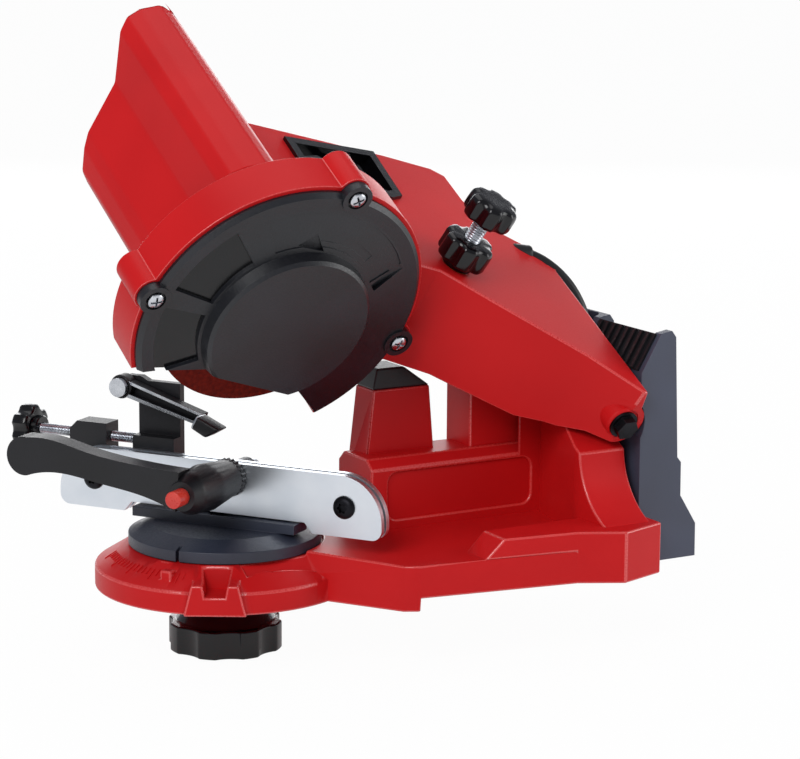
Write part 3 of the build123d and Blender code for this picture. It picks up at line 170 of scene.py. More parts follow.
# Black nylon of the turntable, its colour lifted to a blue-grey as a painted reflection of the pale room on
# its top
paintedReflectionNylon, paintedReflectionTree, paintedReflectionShader = newMaterial(
    "blackNylonPaintedReflection", {"IOR": 1.53, "Specular IOR Level": 0.5})
grainAndTone(paintedReflectionTree, paintedReflectionShader, {
    "grainMm": 0.9, "driftMm": 30, "dark": "#232733", "light": "#2E3342",
    "rough": (0.34, 0.5), "bump": 0.25})
# Polished black ABS of the knobs and the switch
blackAbs, glossTree, glossShader = newMaterial(
    "blackAbsPolished", {"IOR": 1.53, "Specular IOR Level": 0.4})
grainAndTone(glossTree, glossShader, {
    "grainMm": 3.0, "driftMm": 20, "dark": "#040406", "light": "#07070A",
    "rough": (0.15, 0.22), "bump": 0.006})
# Dark grey ABS of the battery housing
greyAbs, greyTree, greyShader = newMaterial("greyAbsMoulded", {"IOR": 1.53})
grainAndTone(greyTree, greyShader, {
    "grainMm": 0.6, "driftMm": 50, "dark": "#373B49", "light": "#404557",
    "rough": (0.4, 0.52), "bump": 0.15})
# Red polished ABS of the push button
buttonAbs, buttonTree, buttonShader = newMaterial("buttonAbsPolished", {"IOR": 1.53, "Coat Weight": 0.2})
grainAndTone(buttonTree, buttonShader, {
    "grainMm": 1.0, "driftMm": 8, "dark": "#C3281D", "light": "#D2392A",
    "rough": (0.25, 0.35), "bump": 0.04})
# Bonded corundum of the disc, 0.3 mm grit in dark red resin
bondedGrit, gritTree, gritShader = newMaterial("bondedCorundum", {"IOR": 1.6, "Specular IOR Level": 0.15})
grainAndTone(gritTree, gritShader, {
    "grainMm": 0.5, "driftMm": 2.0, "dark": "#5A0F07", "light": "#7E1C0E",
    "rough": (0.7, 0.95), "bump": 0.8})
# Zinc-plated sheet steel with the faint lines of rolling, 0.8 mm apart so that they show
zinc = {
    "lineMm": (30, 0.8, 0.8), "cloudMm": 18, "dark": "#D3DBE4", "light": "#F0F4F8", "rough": (0.26, 0.42),
    "bump": 0.08, "bumpMm": 0.05}
zincSheet, zincTree, zincShader = newMaterial("zincPlatedSheet", {"Metallic": 1.0})
zincPlace = addNode(zincTree, "ShaderNodeTexCoord").outputs["Object"]
zincTurn = addNode(zincTree, "ShaderNodeMapping", {"Vector": zincPlace})
zincTurn.inputs["Rotation"].default_value = (0, 0, turn)
zincTurn.inputs["Scale"].default_value = [1 / (size * mm) for size in zinc["lineMm"]]
zincLines = addNode(zincTree, "ShaderNodeTexNoise", {"Vector": zincTurn.outputs["Vector"]})
zincLines.inputs["Scale"].default_value = 1.0
zincCloud = addNode(zincTree, "ShaderNodeTexNoise", {"Vector": zincPlace})
zincCloud.inputs["Scale"].default_value = 1 / (zinc["cloudMm"] * mm)
zincRamp = addNode(zincTree, "ShaderNodeValToRGB", {"Fac": zincCloud.outputs["Fac"]})
zincRamp.color_ramp.elements[0].color = linear(zinc["dark"])
zincRamp.color_ramp.elements[1].color = linear(zinc["light"])
zincTree.links.new(zincRamp.outputs["Color"], zincShader.inputs["Base Color"])
zincGloss = addNode(zincTree, "ShaderNodeMapRange", {"Value": zincLines.outputs["Fac"]})
zincGloss.inputs["To Min"].default_value, zincGloss.inputs["To Max"].default_value = zinc["rough"]
zincTree.links.new(zincGloss.outputs["Result"], zincShader.inputs["Roughness"])
zincBump = addNode(zincTree, "ShaderNodeBump", {"Height": zincLines.outputs["Fac"]})
zincBump.inputs["Strength"].default_value = zinc["bump"]
zincBump.inputs["Distance"].default_value = zinc["bumpMm"] * mm
zincTree.links.new(zincBump.outputs["Normal"], zincShader.inputs["Normal"])


def metal(name, dark, light, rough, grainMm):
    material, tree, shader = newMaterial(name, {"Metallic": 1.0})
    grainAndTone(tree, shader, {
        "grainMm": grainMm, "driftMm": 6, "dark": dark, "light": light, "rough": rough, "bump": 0.08})
    return material


# Bright steel, a little worn
turnedSteel = metal("turnedSteel", "#B4B8BE", "#D8DBE0", (0.2, 0.32), 0.5)
# Steel blackened and oiled, half dull
blackOxide = metal("blackOxideSteel", "#1D1D20", "#2A2A2E", (0.35, 0.5), 0.6)
# Turned brass with a soft shine
brass = metal("turnedBrass", "#B08A45", "#C9A25A", (0.25, 0.4), 0.5)
# Board of glass laminate with green solder lacquer
lacquerBoard, boardTree, boardShader = newMaterial("lacqueredLaminate", {"IOR": 1.5})
grainAndTone(boardTree, boardShader, {
    "grainMm": 0.5, "driftMm": 10, "dark": "#14462B", "light": "#1B5B38",
    "rough": (0.25, 0.35), "bump": 0.1})
# Soft PVC of the cable, a little dull
leadRubber, leadTree, leadShader = newMaterial("cablePvc", {"IOR": 1.53})
grainAndTone(leadTree, leadShader, {
    "grainMm": 0.8, "driftMm": 12, "dark": "#08080A", "light": "#0D0D10",
    "rough": (0.34, 0.44), "bump": 0.05})

finishes = {
    "red_plastic": redAbs, "black_plastic": blackNylon, "grey_plastic": greyAbs, "zinc_steel": zincSheet,
    "steel": turnedSteel, "black_steel": blackOxide, "brass": brass, "abrasive": bondedGrit,
    "board": lacquerBoard}
ownFinish = {
    "lever_button": buttonAbs, "depth_knob": blackAbs, "depth_lock_nut": blackAbs, "stop_knob": blackAbs,
    "switch_bezel": blackAbs, "switch_rocker": blackAbs, "lock_knob": blackAbs, "guard_cover": grainedNylon,
    "turntable": paintedReflectionNylon}


def paint(piece, material):
    if not piece.material_slots:
        piece.data.materials.append(material)
    for slot in piece.material_slots:
        slot.material = material


slotOf = {part["node"]: part["material_slot"] for part in frame["record"]["subparts"]}
for node, piece in frame["nodes"].items():
    paint(piece, ownFinish.get(node, finishes[slotOf[node]]))
print("materials:", len(bpy.data.materials))

# ---- helpers for new pieces


def clearSelection():
    bpy.ops.object.select_all(action="DESELECT")


def selectOnly(piece):
    clearSelection()
    piece.select_set(True)
    bpy.context.view_layer.objects.active = piece


def applyModifier(piece, kind, **settings):
    selectOnly(piece)
    modifier = piece.modifiers.new(kind.lower(), kind)
    for key, value in settings.items():
        setattr(modifier, key, value)
    bpy.ops.object.modifier_apply(modifier=modifier.name)


def tidyMesh(piece, distance=0.00002):
    selectOnly(piece)
    bpy.ops.object.mode_set(mode="EDIT")
    bpy.ops.mesh.select_all(action="SELECT")
    bpy.ops.mesh.remove_doubles(threshold=distance)
    bpy.ops.mesh.normals_make_consistent(inside=False)
    bpy.ops.object.mode_set(mode="OBJECT")


def place(piece, matrix):
    bpy.context.view_layer.update()
    piece.matrix_world = matrix @ piece.matrix_world
    selectOnly(piece)
    bpy.ops.object.transform_apply(location=True, rotation=True, scale=True)


def finishPiece(piece, name, material, body, replaced=(), smooth=30):
    piece.name = name
    piece.data.name = name
    if material:
        paint(piece, material)
    selectOnly(piece)
    bpy.ops.object.shade_smooth_by_angle(angle=smooth * degree)
    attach(piece, body)
    if replaced:
        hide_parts(*replaced)
    clearSelection()
    return piece


bodyOf = {node: body for body, nodes in frame["record"]["behaviour"]["bodies"].items() for node in nodes}


def dropPiece(piece):
    mesh = piece.data
    bpy.data.objects.remove(piece)
    bpy.data.meshes.remove(mesh)


def joinPieces(pieces):
    clearSelection()
    for piece in pieces:
        piece.select_set(True)
    bpy.context.view_layer.objects.active = pieces[0]
    bpy.ops.object.join()
    return bpy.context.object


def copyPiece(piece, matrix):
    # A copy with a mesh of its own, set in its place
    twin = piece.copy()
    twin.data = piece.data.copy()
    bpy.context.scene.collection.objects.link(twin)
    place(twin, matrix)
    return twin


def outlinePlate(outline, low, high, matrix):
    # A flat disc with as many corners as the outline, pulled to it and extruded
    clearSelection()
    bpy.ops.mesh.primitive_circle_add(vertices=len(outline), radius=0.01, fill_type="NGON")
    piece = bpy.context.object
    for corner, (x, y) in zip(piece.data.vertices, outline):
        corner.co = (x * mm, y * mm, low * mm)
    bpy.ops.object.mode_set(mode="EDIT")
    bpy.ops.mesh.select_all(action="SELECT")
    bpy.ops.mesh.extrude_region_move(TRANSFORM_OT_translate={"value": (0, 0, (high - low) * mm)})
    bpy.ops.object.mode_set(mode="OBJECT")
    tidyMesh(piece)
    place(piece, matrix)
    return piece


def spunPiece(profile, matrix, steps=48, start=0, sweep=360):
    # A profile of (radius, height) spun about its axis; a full turn closes on itself
    clearSelection()
    bpy.ops.mesh.primitive_circle_add(vertices=len(profile), radius=0.01)
    piece = bpy.context.object
    first = start * degree
    for corner, (r, z) in zip(piece.data.vertices, profile):
        corner.co = (r * mm * math.cos(first), r * mm * math.sin(first), z * mm)
    bpy.ops.object.mode_set(mode="EDIT")
    if sweep < 360:
        bpy.ops.mesh.select_all(action="SELECT")
        bpy.ops.mesh.edge_face_add()
    bpy.ops.mesh.select_all(action="SELECT")
    bpy.ops.mesh.spin(steps=steps, angle=sweep * degree, center=(0, 0, 0), axis=(0, 0, -1))
    bpy.ops.object.mode_set(mode="OBJECT")
    tidyMesh(piece)
    place(piece, matrix)
    return piece


def roundOutline(radius, corners=40):
    steps = [2 * math.pi * i / corners for i in range(corners)]
    return [(radius * math.cos(angle), radius * math.sin(angle)) for angle in steps]


def starOutline(radius, lobes, notchR, notchIn, corners=96):
    # Round outline with a finger notch between each pair of lobes
    middle = radius + notchR - notchIn
    points = []
    for i in range(corners):
        angle = 2 * math.pi * i / corners
        off = (angle - math.pi / lobes) % (2 * math.pi / lobes)
        off = min(off, 2 * math.pi / lobes - off)
        reach, aside = radius, middle * math.sin(off)
        if aside < notchR:
            reach = min(radius, middle * math.cos(off) - math.sqrt(notchR ** 2 - aside ** 2))
        points.append((reach * math.cos(angle), reach * math.sin(angle)))
    return points


def domedKnob(outline, rings, matrix):
    # The outline is extruded up ring by ring, each ring scaled about the axis, so that its edges round over
    clearSelection()
    bpy.ops.mesh.primitive_circle_add(vertices=len(outline), radius=0.01, fill_type="NGON")
    piece = bpy.context.object
    (z, size) = rings[0]
    for corner, (x, y) in zip(piece.data.vertices, outline):
        corner.co = (x * size * mm, y * size * mm, z * mm)
    bpy.ops.object.mode_set(mode="EDIT")
    bpy.ops.mesh.select_all(action="SELECT")
    for nextZ, nextSize in rings[1:]:
        bpy.ops.mesh.extrude_region_move(TRANSFORM_OT_translate={"value": (0, 0, (nextZ - z) * mm)})
        grow = nextSize / size
        bpy.ops.transform.resize(
            value=(grow, grow, 1), center_override=(0, 0, nextZ * mm), orient_type="GLOBAL")
        z, size = nextZ, nextSize
    bpy.ops.mesh.poke()
    bpy.ops.object.mode_set(mode="OBJECT")
    tidyMesh(piece)
    place(piece, matrix)
    return piece


def carve(piece, cutters):
    for cutter in cutters:
        applyModifier(piece, "BOOLEAN", operation="DIFFERENCE", solver="EXACT", object=cutter)
        dropPiece(cutter)


def roundEdges(piece, chosen, width, segments=4):
    # Edges that the test chooses get a larger radius than the rest
    for face in piece.data.polygons:
        face.select = False
    corners = piece.data.vertices
    for corner in corners:
        corner.select = False
    for edge in piece.data.edges:
        edge.select = chosen(corners[edge.vertices[0]].co, corners[edge.vertices[1]].co)
    selectOnly(piece)
    bpy.ops.object.mode_set(mode="EDIT")
    bpy.ops.mesh.select_mode(type="EDGE")
    bpy.ops.mesh.bevel(offset=width * mm, segments=segments, affect="EDGES", clamp_overlap=True)
    bpy.ops.mesh.select_mode(type="VERT")
    bpy.ops.object.mode_set(mode="OBJECT")
    tidyMesh(piece)


def weighEdges(piece, angle, kept):
    # Only the sharp outer edges that the test keeps get a radius
    mesh = piece.data
    weights = mesh.attributes.new("bevel_weight_edge", "FLOAT", "EDGE")
    sideOf = {}
    for face in mesh.polygons:
        for a, b in zip(face.vertices, [*face.vertices[1:], face.vertices[0]]):
            sideOf[a, b] = face.normal
    for edge in mesh.edges:
        a, b = edge.vertices
        first, second = sideOf.get((a, b)), sideOf.get((b, a))
        if not first or not second or first.angle(second, 0) < angle * degree:
            continue
        start, end = mesh.vertices[a].co, mesh.vertices[b].co
        if first.cross(second).dot(end - start) > 0 and kept((start + end) / 2):
            weights.data[edge.index].value = 1.0


def edgedCopy(
        node, width, segments=2, angle=32, cutters=(), smooth=35, chosen=None, chosenWidth=4, parts=(),
        kept=None):
    # The moulding with the small radii of its mould: merged, its flat faces joined, carved and bevelled.
    # A test in kept bevels only the outer edges that pass it, and one in chosen rounds some edges more
    source = frame["nodes"][node]
    piece = bpy.data.objects.new(node + "Moulded", source.data.copy())
    bpy.context.scene.collection.objects.link(piece)
    tidyMesh(piece)
    bpy.ops.object.mode_set(mode="EDIT")
    bpy.ops.mesh.select_all(action="SELECT")
    bpy.ops.mesh.dissolve_limited(angle_limit=0.6 * degree)
    bpy.ops.object.mode_set(mode="OBJECT")
    carve(piece, cutters)
    if chosen:
        roundEdges(piece, chosen, chosenWidth)
    finish = source.material_slots[0].material
    # Red mouldings get a second slot for their bevel faces: glossier, and a paler red that is a painted
    # highlight along the edges
    edged = [finish] if finish is not redAbs else [redAbs, redEdgeHighlight]
    piece.data.materials.clear()
    for material in edged:
        piece.data.materials.append(material)
    if kept:
        weighEdges(piece, angle, kept)
    applyModifier(
        piece, "BEVEL", width=width * mm, segments=segments, limit_method="WEIGHT" if kept else "ANGLE",
        material=len(edged) - 1, angle_limit=angle * degree, miter_outer="MITER_ARC", loop_slide=False,
        use_clamp_overlap=not kept)
    for part in parts:
        paint(part, finish)
    if parts:
        piece = joinPieces([piece, *parts])
    finishPiece(piece, node + "Moulded", None, bodyOf[node], (node,), smooth)
    # Large flat faces keep their own shading, and only the small radii catch the light
    applyModifier(piece, "WEIGHTED_NORMAL", keep_sharp=True, weight=80)
    clearSelection()
    return piece


# ---- mouldings with rounded edges
# Disc cover: three pockets, an arrow and a slot cut in its cone, and a pocket for each screw lug
coverSize = {
    "pockets": [(41.0, 60.0, 124, 159, 2.1), (41.0, 60.0, 168, 204, 2.1), (42.0, 58.5, 27, 110, 0.6)],
    "polished": 2, "arrow": (44.5, 48.2, 43, 81, 0.9), "arrowHead": [(-4.0, 42.5), (4.5, 47.6), (9.0, 39.0)],
    "arrowFloor": 13.6, "slot": [(38.5, 17.5), (50.9, 27.0), (53.8, 23.9), (41.0, 13.9)], "slotFloor": 12.4,
    "lugAngles": (73.0, 165.0, -17.0), "lugCircle": 67.0, "lugPocketR": 4.7, "lugFloor": 12.0, "cutTop": 24,
    "coneInner": 39.5, "coneOuter": 60.0, "coneTop": 15.5, "coneDrop": 3.0, "draftOut": 1.2, "draftIn": 0.4,
    "wallIn": 1.0, "wallOut": 1.5, "wallTurn": 1.0, "polishShadeLow": 9, "polishShadeClear": 1.2, "edge": 0.45}
lugSpots = [
    (coverSize["lugCircle"] * math.cos(a * degree), coverSize["lugCircle"] * math.sin(a * degree))
    for a in coverSize["lugAngles"]]


def coverHeight(r):
    # Height of the cover's cone over the middle of the disc
    inner, outer = coverSize["coneInner"], coverSize["coneOuter"]
    return coverSize["coneTop"] - (min(r, outer) - inner) * coverSize["coneDrop"] / (outer - inner)


coverCutters = []
top = coverSize["cutTop"]
for inner, outer, start, stop, depth in coverSize["pockets"] + [coverSize["arrow"]]:
    profile = [
        (inner, coverHeight(inner) - depth), (outer, coverHeight(outer) - depth),
        (outer + coverSize["draftOut"], top), (inner - coverSize["draftIn"], top)]
    coverCutters.append(spunPiece(profile, headMatrix, 12, start, stop - start))
coverCutters.append(outlinePlate(coverSize["arrowHead"], coverSize["arrowFloor"], top, headMatrix))
coverCutters.append(outlinePlate(coverSize["slot"], coverSize["slotFloor"], top, headMatrix))
for x, y in lugSpots:
    around = headMatrix @ Matrix.Translation(Vector((x, y, 0)) * mm)
    lugOutline = roundOutline(coverSize["lugPocketR"])
    coverCutters.append(outlinePlate(lugOutline, coverSize["lugFloor"], top, around))
cover = edgedCopy("guard_cover", coverSize["edge"], 2, cutters=coverCutters)
# The floor and the leaning walls of the two deep pockets get the polished black: smoother than the grained
# rest, and darker as painted shade in the pockets
cover.data.materials.append(blackAbs)
headBack = headMatrix.inverted()
for face in cover.data.polygons:
    spot = headBack @ face.center / mm
    reach, angle = spot.xy.length, math.degrees(math.atan2(spot.y, spot.x)) % 360
    for inner, outer, start, stop, depth in coverSize["pockets"][:coverSize["polished"]]:
        across = inner - coverSize["wallIn"] < reach < outer + coverSize["wallOut"]
        around = start - coverSize["wallTurn"] < angle < stop + coverSize["wallTurn"]
        deep = coverSize["polishShadeLow"] < spot.z < coverHeight(reach) - coverSize["polishShadeClear"]
        if across and around and deep:
            face.material_index = 1
print("guard cover carved")

# Arm: its boss is cut flush with the cheek and gets a narrow collar, and the motor bay's edges are rounder
armSize = {
    "cheek": [
        (128.0, -36.7), (142.7, -48.15), (163.7, -70.15), (180.0, -70.15), (180.0, -92.0), (120.0, -92.0)],
    "cutLow": -85, "cutHigh": 10, "edge": 0.9,
    "motorEdge": 8.0, "motorEdgeMin": 30, "motorRight": 62, "motorLean": 0.97,
    "collar": [
        (4.6, 50), (8.0, 50), (8.0, 68.7), (7.6, 69.5), (6.8, 69.9), (5.4, 69.9), (4.6, 69.3)],
    "bossClear": 13.0, "leadHole": (158.0, -2.0, 136.0), "leadClear": 13.0}
cheekCut = outlinePlate(
    [((x - planes["ridge"][0]) / math.cos(slope), w) for x, w in armSize["cheek"]],
    armSize["cutLow"], armSize["cutHigh"], armMatrix)
hingeCollar = spunPiece(armSize["collar"], hingeMatrix, 48)


def motorLengthEdge(first, second):
    # Long edges behind the disc that run along the motor
    a, b = headBack @ first / mm, headBack @ second / mm
    along = (b - a).normalized()
    behind = max(a.z, b.z) < 1 and max(a.x, b.x) < armSize["motorRight"]
    return behind and abs(along.z) > armSize["motorLean"] and (b - a).length > armSize["motorEdgeMin"]


def armEdge(spot):
    # Edges round the hinge boss and the lead's hole stay sharp
    fromHinge = (hingeMatrix.inverted() @ spot).xy.length / mm
    fromLead = (spot / mm - Vector(armSize["leadHole"])).length
    return fromHinge > armSize["bossClear"] and fromLead > armSize["leadClear"]


edgedCopy(
    "arm_housing", armSize["edge"], 3, cutters=[cheekCut], chosen=motorLengthEdge,
    chosenWidth=armSize["motorEdge"], parts=[hingeCollar], kept=armEdge)
print("arm done")

# Base: panel in the wall under the arm, and an angle scale on the cone of the round flange
baseSize = {
    "panel": (72.0, 150.0, 19.5, 42.0), "panelDepth": 1.4, "panelCorner": 5.0, "wallY": 25.0,
    "wallClear": 4.0, "edge": 0.9, "sharpSpots": [(24.1, -55.1, 4.0, 8.0), (-5.3, -48.6, 9.9, 5.0)],
    "scaleStart": 160, "scaleStop": 226, "scaleStep": 3, "longEvery": 5,
    "tickInner": 49.0, "tickOuter": 53.0, "tickLong": 55.5, "tickWide": 0.45, "tickHigh": 0.7,
    "coneR": 45.0, "coneTop": 13.0, "coneReach": 14.5, "coneDrop": 9.0}
wallMatrix = basis((0, 0, 0), Vector((1, 0, 0)), Vector((0, 0, 1)))


def roundedRectangle(left, right, low, high, corner, steps=6):
    points = []
    for x, z, first in (
            (right - corner, low + corner, -90), (right - corner, high - corner, 0),
            (left + corner, high - corner, 90), (left + corner, low + corner, 180)):
        for i in range(steps + 1):
            angle = (first + 90 * i / steps) * degree
            points.append((x + corner * math.cos(angle), z + corner * math.sin(angle)))
    return points


def coneTick(outer):
    # A thin bar that lies on the cone, along x
    inner = baseSize["tickInner"]
    middle = (outer + inner) / 2
    fall = baseSize["coneDrop"] / baseSize["coneReach"]
    clearSelection()
    bpy.ops.mesh.primitive_cube_add(size=1)
    tick = bpy.context.object
    tick.scale = ((outer - inner) * mm, baseSize["tickWide"] * mm, baseSize["tickHigh"] * mm)
    height = baseSize["coneTop"] - (middle - baseSize["coneR"]) * fall
    lean = Matrix.Rotation(math.atan(fall), 4, "Y")
    place(tick, Matrix.Translation(Vector((middle, 0, height)) * mm) @ lean)
    return tick


def baseEdge(spot):
    # The edges that meet under a flat angle at the flange stay sharp
    return all((spot / mm - Vector((x, y, z))).length > clear for x, y, z, clear in baseSize["sharpSpots"])


wall, depth = baseSize["wallY"], baseSize["panelDepth"]
panelOutline = roundedRectangle(*baseSize["panel"], baseSize["panelCorner"])
panelCut = outlinePlate(panelOutline, wall - depth, wall + baseSize["wallClear"], wallMatrix)
shortTick, longTick = coneTick(baseSize["tickOuter"]), coneTick(baseSize["tickLong"])
ticks = []
scale = range(baseSize["scaleStart"], baseSize["scaleStop"], baseSize["scaleStep"])
for index, tickAngle in enumerate(scale):
    tick = longTick if index % baseSize["longEvery"] == 0 else shortTick
    ticks.append(copyPiece(tick, Matrix.Rotation(tickAngle * degree, 4, "Z")))
dropPiece(shortTick)
dropPiece(longTick)
edgedCopy("base_housing", baseSize["edge"], 3, cutters=[panelCut], parts=ticks, kept=baseEdge)
print("base done")

# The other mouldings: width in mm and segments of their small radii
edgeRadii = {
    "guard_back": (1.2, 2), "rear_housing": (1.2, 2), "stop_pad": (1.0, 2), "near_plate": (0.35, 2),
    "far_plate": (0.35, 2), "stop_bracket": (0.5, 2), "stop_guide": (0.8, 2), "battery_shoe": (0.5, 1),
    "lock_knob": (2.6, 4), "clamp_lever": (2.4, 4), "clamp_collar": (0.3, 1), "lever_button": (0.5, 2),
    "hinge_bolt": (0.4, 2), "switch_bezel": (0.8, 2), "switch_rocker": (0.6, 2), "hinge_nut": (0.3, 1)}
for node, (width, segments) in edgeRadii.items():
    edged = edgedCopy(node, width, segments)
    print("edged", node, len(edged.data.polygons), "faces")
# The turntable's wide chamfer keeps its own shading
edgedCopy("turntable", 0.5, 2, angle=14, smooth=14)

# ---- cover screws, three alike: pan head with a cross recess
coverScrew = {
    "headR": 3.8, "height": 2.6, "lift": 0.05, "recess": 2.6, "slot": 0.9, "recessFloor": 0.35,
    "bevel": 0.12, "turnFirst": 25, "turnStep": 70,
    "head": [(0, 0), (1, 0), (1, 0.35), (0.93, 0.68), (0.75, 0.9), (0.45, 1), (0, 1)]}
r, h = coverScrew["headR"], coverScrew["height"]
headProfile = [(r * out, h * up) for out, up in coverScrew["head"]]
reach, half = coverScrew["recess"], coverScrew["slot"] / 2
slots = [
    [(reach, half), (-reach, half), (-reach, -half), (reach, -half)],
    [(half, reach), (half, -reach), (-half, -reach), (-half, reach)]]
screwParts = []
for index, (x, y) in enumerate(lugSpots):
    around = headMatrix @ Matrix.Translation(Vector((x, y, coverSize["lugFloor"] + coverScrew["lift"])) * mm)
    screwTurn = (coverScrew["turnFirst"] + coverScrew["turnStep"] * index) * degree
    around = around @ Matrix.Rotation(screwTurn, 4, "Z")
    head = spunPiece(headProfile, around, 40)
    carve(head, [outlinePlate(slot, h * coverScrew["recessFloor"], 9, around) for slot in slots])
    applyModifier(
        head, "BEVEL", width=coverScrew["bevel"] * mm, segments=1, limit_method="ANGLE",
        angle_limit=35 * degree)
    screwParts.append(head)
finishPiece(joinPieces(screwParts), "coverScrews", turnedSteel, "head", ("guard_screws",))


def threadedRod(radius, low, high, pitch, depth, matrix, endRadius):
    # Grooves a pitch apart with narrow flat crests, and a chamfered lower end
    crest = radius - depth * 0.12
    profile = [(0, low), (endRadius, low)]
    z = low + (radius - endRadius) * 0.8
    while z + pitch <= high:
        profile += [(radius - depth, z), (crest, z + pitch * 0.42), (crest, z + pitch * 0.58)]
        z += pitch
    profile += [(radius - depth, high), (0, high)]
    return spunPiece(profile, matrix, 40)


# ---- depth stop: M8 screw, domed knob and lobed lock nut
depthStop = {
    "alongHead": 96.3, "across": 6.9, "rodR": 4.0, "rodEndR": 2.2, "pitch": 1.25, "threadDepth": 0.7,
    "rodLow": -50.5, "rodHigh": 34.0, "knobR": 12.2, "knobLow": 26.0, "knobHigh": 37.5,
    "nutR": 12.4, "nutLow": 3.0, "nutHigh": 15.0, "lobes": 6, "notchR": 5.0, "notchIn": 1.8,
    "collar": [(4.2, 0.3), (7.3, 0.3), (7.5, 0.6), (7.5, 3.4), (4.2, 3.4)]}
# Share of the height and share of the radius, from the bottom up
domeRings = [
    (0, 0.86), (0.03, 0.93), (0.09, 0.975), (0.18, 1), (0.62, 1), (0.76, 0.985), (0.86, 0.95), (0.93, 0.89),
    (0.975, 0.80), (1, 0.66), (0.99, 0.4)]
nutRings = [(0, 0.88), (0.05, 0.96), (0.14, 1), (0.78, 1), (0.9, 0.965), (0.97, 0.9), (1, 0.8)]
depthMatrix = armMatrix @ Matrix.Translation(Vector((
    (depthStop["alongHead"] - planes["ridge"][0]) / math.cos(slope), depthStop["across"], 0)) * mm)
rod = threadedRod(
    depthStop["rodR"], depthStop["rodLow"], depthStop["rodHigh"], depthStop["pitch"],
    depthStop["threadDepth"], depthMatrix, depthStop["rodEndR"])
finishPiece(rod, "depthRod", turnedSteel, "depth_screw", ("depth_screw",), 25)


def lobedKnob(radius, lobes, low, high, rings, boreHigh, rodR, matrix):
    outline = starOutline(radius, lobes, depthStop["notchR"], depthStop["notchIn"])
    knob = domedKnob(outline, [(low + (high - low) * part, size) for part, size in rings], matrix)
    carve(knob, [outlinePlate(roundOutline(rodR + 0.2), low - 1, boreHigh, matrix)])
    return knob


knob = lobedKnob(
    depthStop["knobR"], depthStop["lobes"], depthStop["knobLow"], depthStop["knobHigh"], domeRings,
    depthStop["rodHigh"] + 0.5, depthStop["rodR"], depthMatrix)
finishPiece(knob, "depthKnob", blackAbs, "depth_knob", ("depth_knob",), 40)
nut = lobedKnob(
    depthStop["nutR"], depthStop["lobes"], depthStop["nutLow"], depthStop["nutHigh"], nutRings, 30,
    depthStop["rodR"], depthMatrix)
nutCollar = spunPiece(depthStop["collar"], depthMatrix, 40)
finishPiece(
    joinPieces([nut, nutCollar]), "depthLockNut", blackAbs, "depth_lock_nut",
    ("depth_lock_nut",), 40)
print("depth stop done")

# ---- chain stop: fine screw and its lobed knob
chainStop = {
    "place": (0, 54.0, -10.5), "rodR": 2.5, "rodEndR": 2.0, "from": -110.0, "to": -44.0, "pitch": 0.8,
    "threadDepth": 0.45, "knobR": 11.0, "knobLow": 107.0, "knobHigh": 116.0, "boreHigh": 110.2, "lobes": 6,
    "collar": [(2.8, 104.0), (5.5, 104.0), (6.0, 104.5), (6.0, 107.4), (2.8, 107.4)]}
stopWay = Vector((math.cos(turn), -math.sin(turn), 0))
stopOrigin = plateMatrix @ (Vector(chainStop["place"]) * mm)
stopMatrix = basis(stopOrigin / mm, Vector((0, 0, 1)), stopWay.cross(Vector((0, 0, 1))))
stopRod = threadedRod(
    chainStop["rodR"], chainStop["from"], chainStop["to"], chainStop["pitch"], chainStop["threadDepth"],
    stopMatrix, chainStop["rodEndR"])
finishPiece(stopRod, "stopRod", turnedSteel, bodyOf["stop_screw"], ("stop_screw",), 25)
knobMatrix = stopMatrix @ Matrix.Rotation(math.pi, 4, "X")
stopKnob = lobedKnob(
    chainStop["knobR"], chainStop["lobes"], chainStop["knobLow"], chainStop["knobHigh"], domeRings,
    chainStop["boreHigh"], chainStop["rodR"], knobMatrix)
stopCollar = spunPiece(chainStop["collar"], knobMatrix, 40)
finishPiece(
    joinPieces([stopKnob, stopCollar]), "stopKnob", blackAbs, bodyOf["stop_knob"],
    ("stop_knob",), 40)
print("chain stop done")

# ---- lead from the arm into the rear housing, a round three-core cable
powerLead = {
    "radius": 3.2, "route": [
        (147.0, 0.5, 136.0), (156.0, -1.0, 136.3), (164.5, -4.5, 133.5), (172.0, -9.0, 127.6),
        (177.8, -13.0, 120.0), (181.3, -17.0, 111.0), (183.0, -20.0, 102.0), (183.0, -22.0, 93.0)]}
leadRoute = powerLead["route"]
leadCurve = bpy.data.curves.new("powerLead", "CURVE")
leadCurve.dimensions = "3D"
leadCurve.bevel_depth = powerLead["radius"] * mm
leadCurve.bevel_resolution = 5
leadCurve.use_fill_caps = True
leadLine = leadCurve.splines.new("NURBS")
leadLine.points.add(len(leadRoute) - 1)
for point, (x, y, z) in zip(leadLine.points, leadRoute):
    point.co = (x * mm, y * mm, z * mm, 1)
leadLine.order_u = 3
leadLine.use_endpoint_u = True
leadLine.resolution_u = 12
lead = bpy.data.objects.new("powerLead", leadCurve)
bpy.context.scene.collection.objects.link(lead)
lead.data.materials.append(leadRubber)
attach(lead, "head")
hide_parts("power_lead")
# Rubber boot that closes the hole round the lead
leadBoot = {
    "from": (151.5, -0.25, 136.15), "to": (160.25, -2.75, 134.9),
    "profile": [(3.0, 0), (5.0, 0), (5.0, 9.5), (4.6, 10.4), (3.9, 10.9), (3.0, 11.0)]}
bootWay = (Vector(leadBoot["to"]) - Vector(leadBoot["from"])).normalized()
bootSide = bootWay.cross(Vector((0, 0, 1))).normalized()
boot = spunPiece(leadBoot["profile"], basis(leadBoot["from"], bootSide, bootWay.cross(bootSide)), 40)
finishPiece(boot, "leadBoot", leadRubber, "head")
print("lead done")

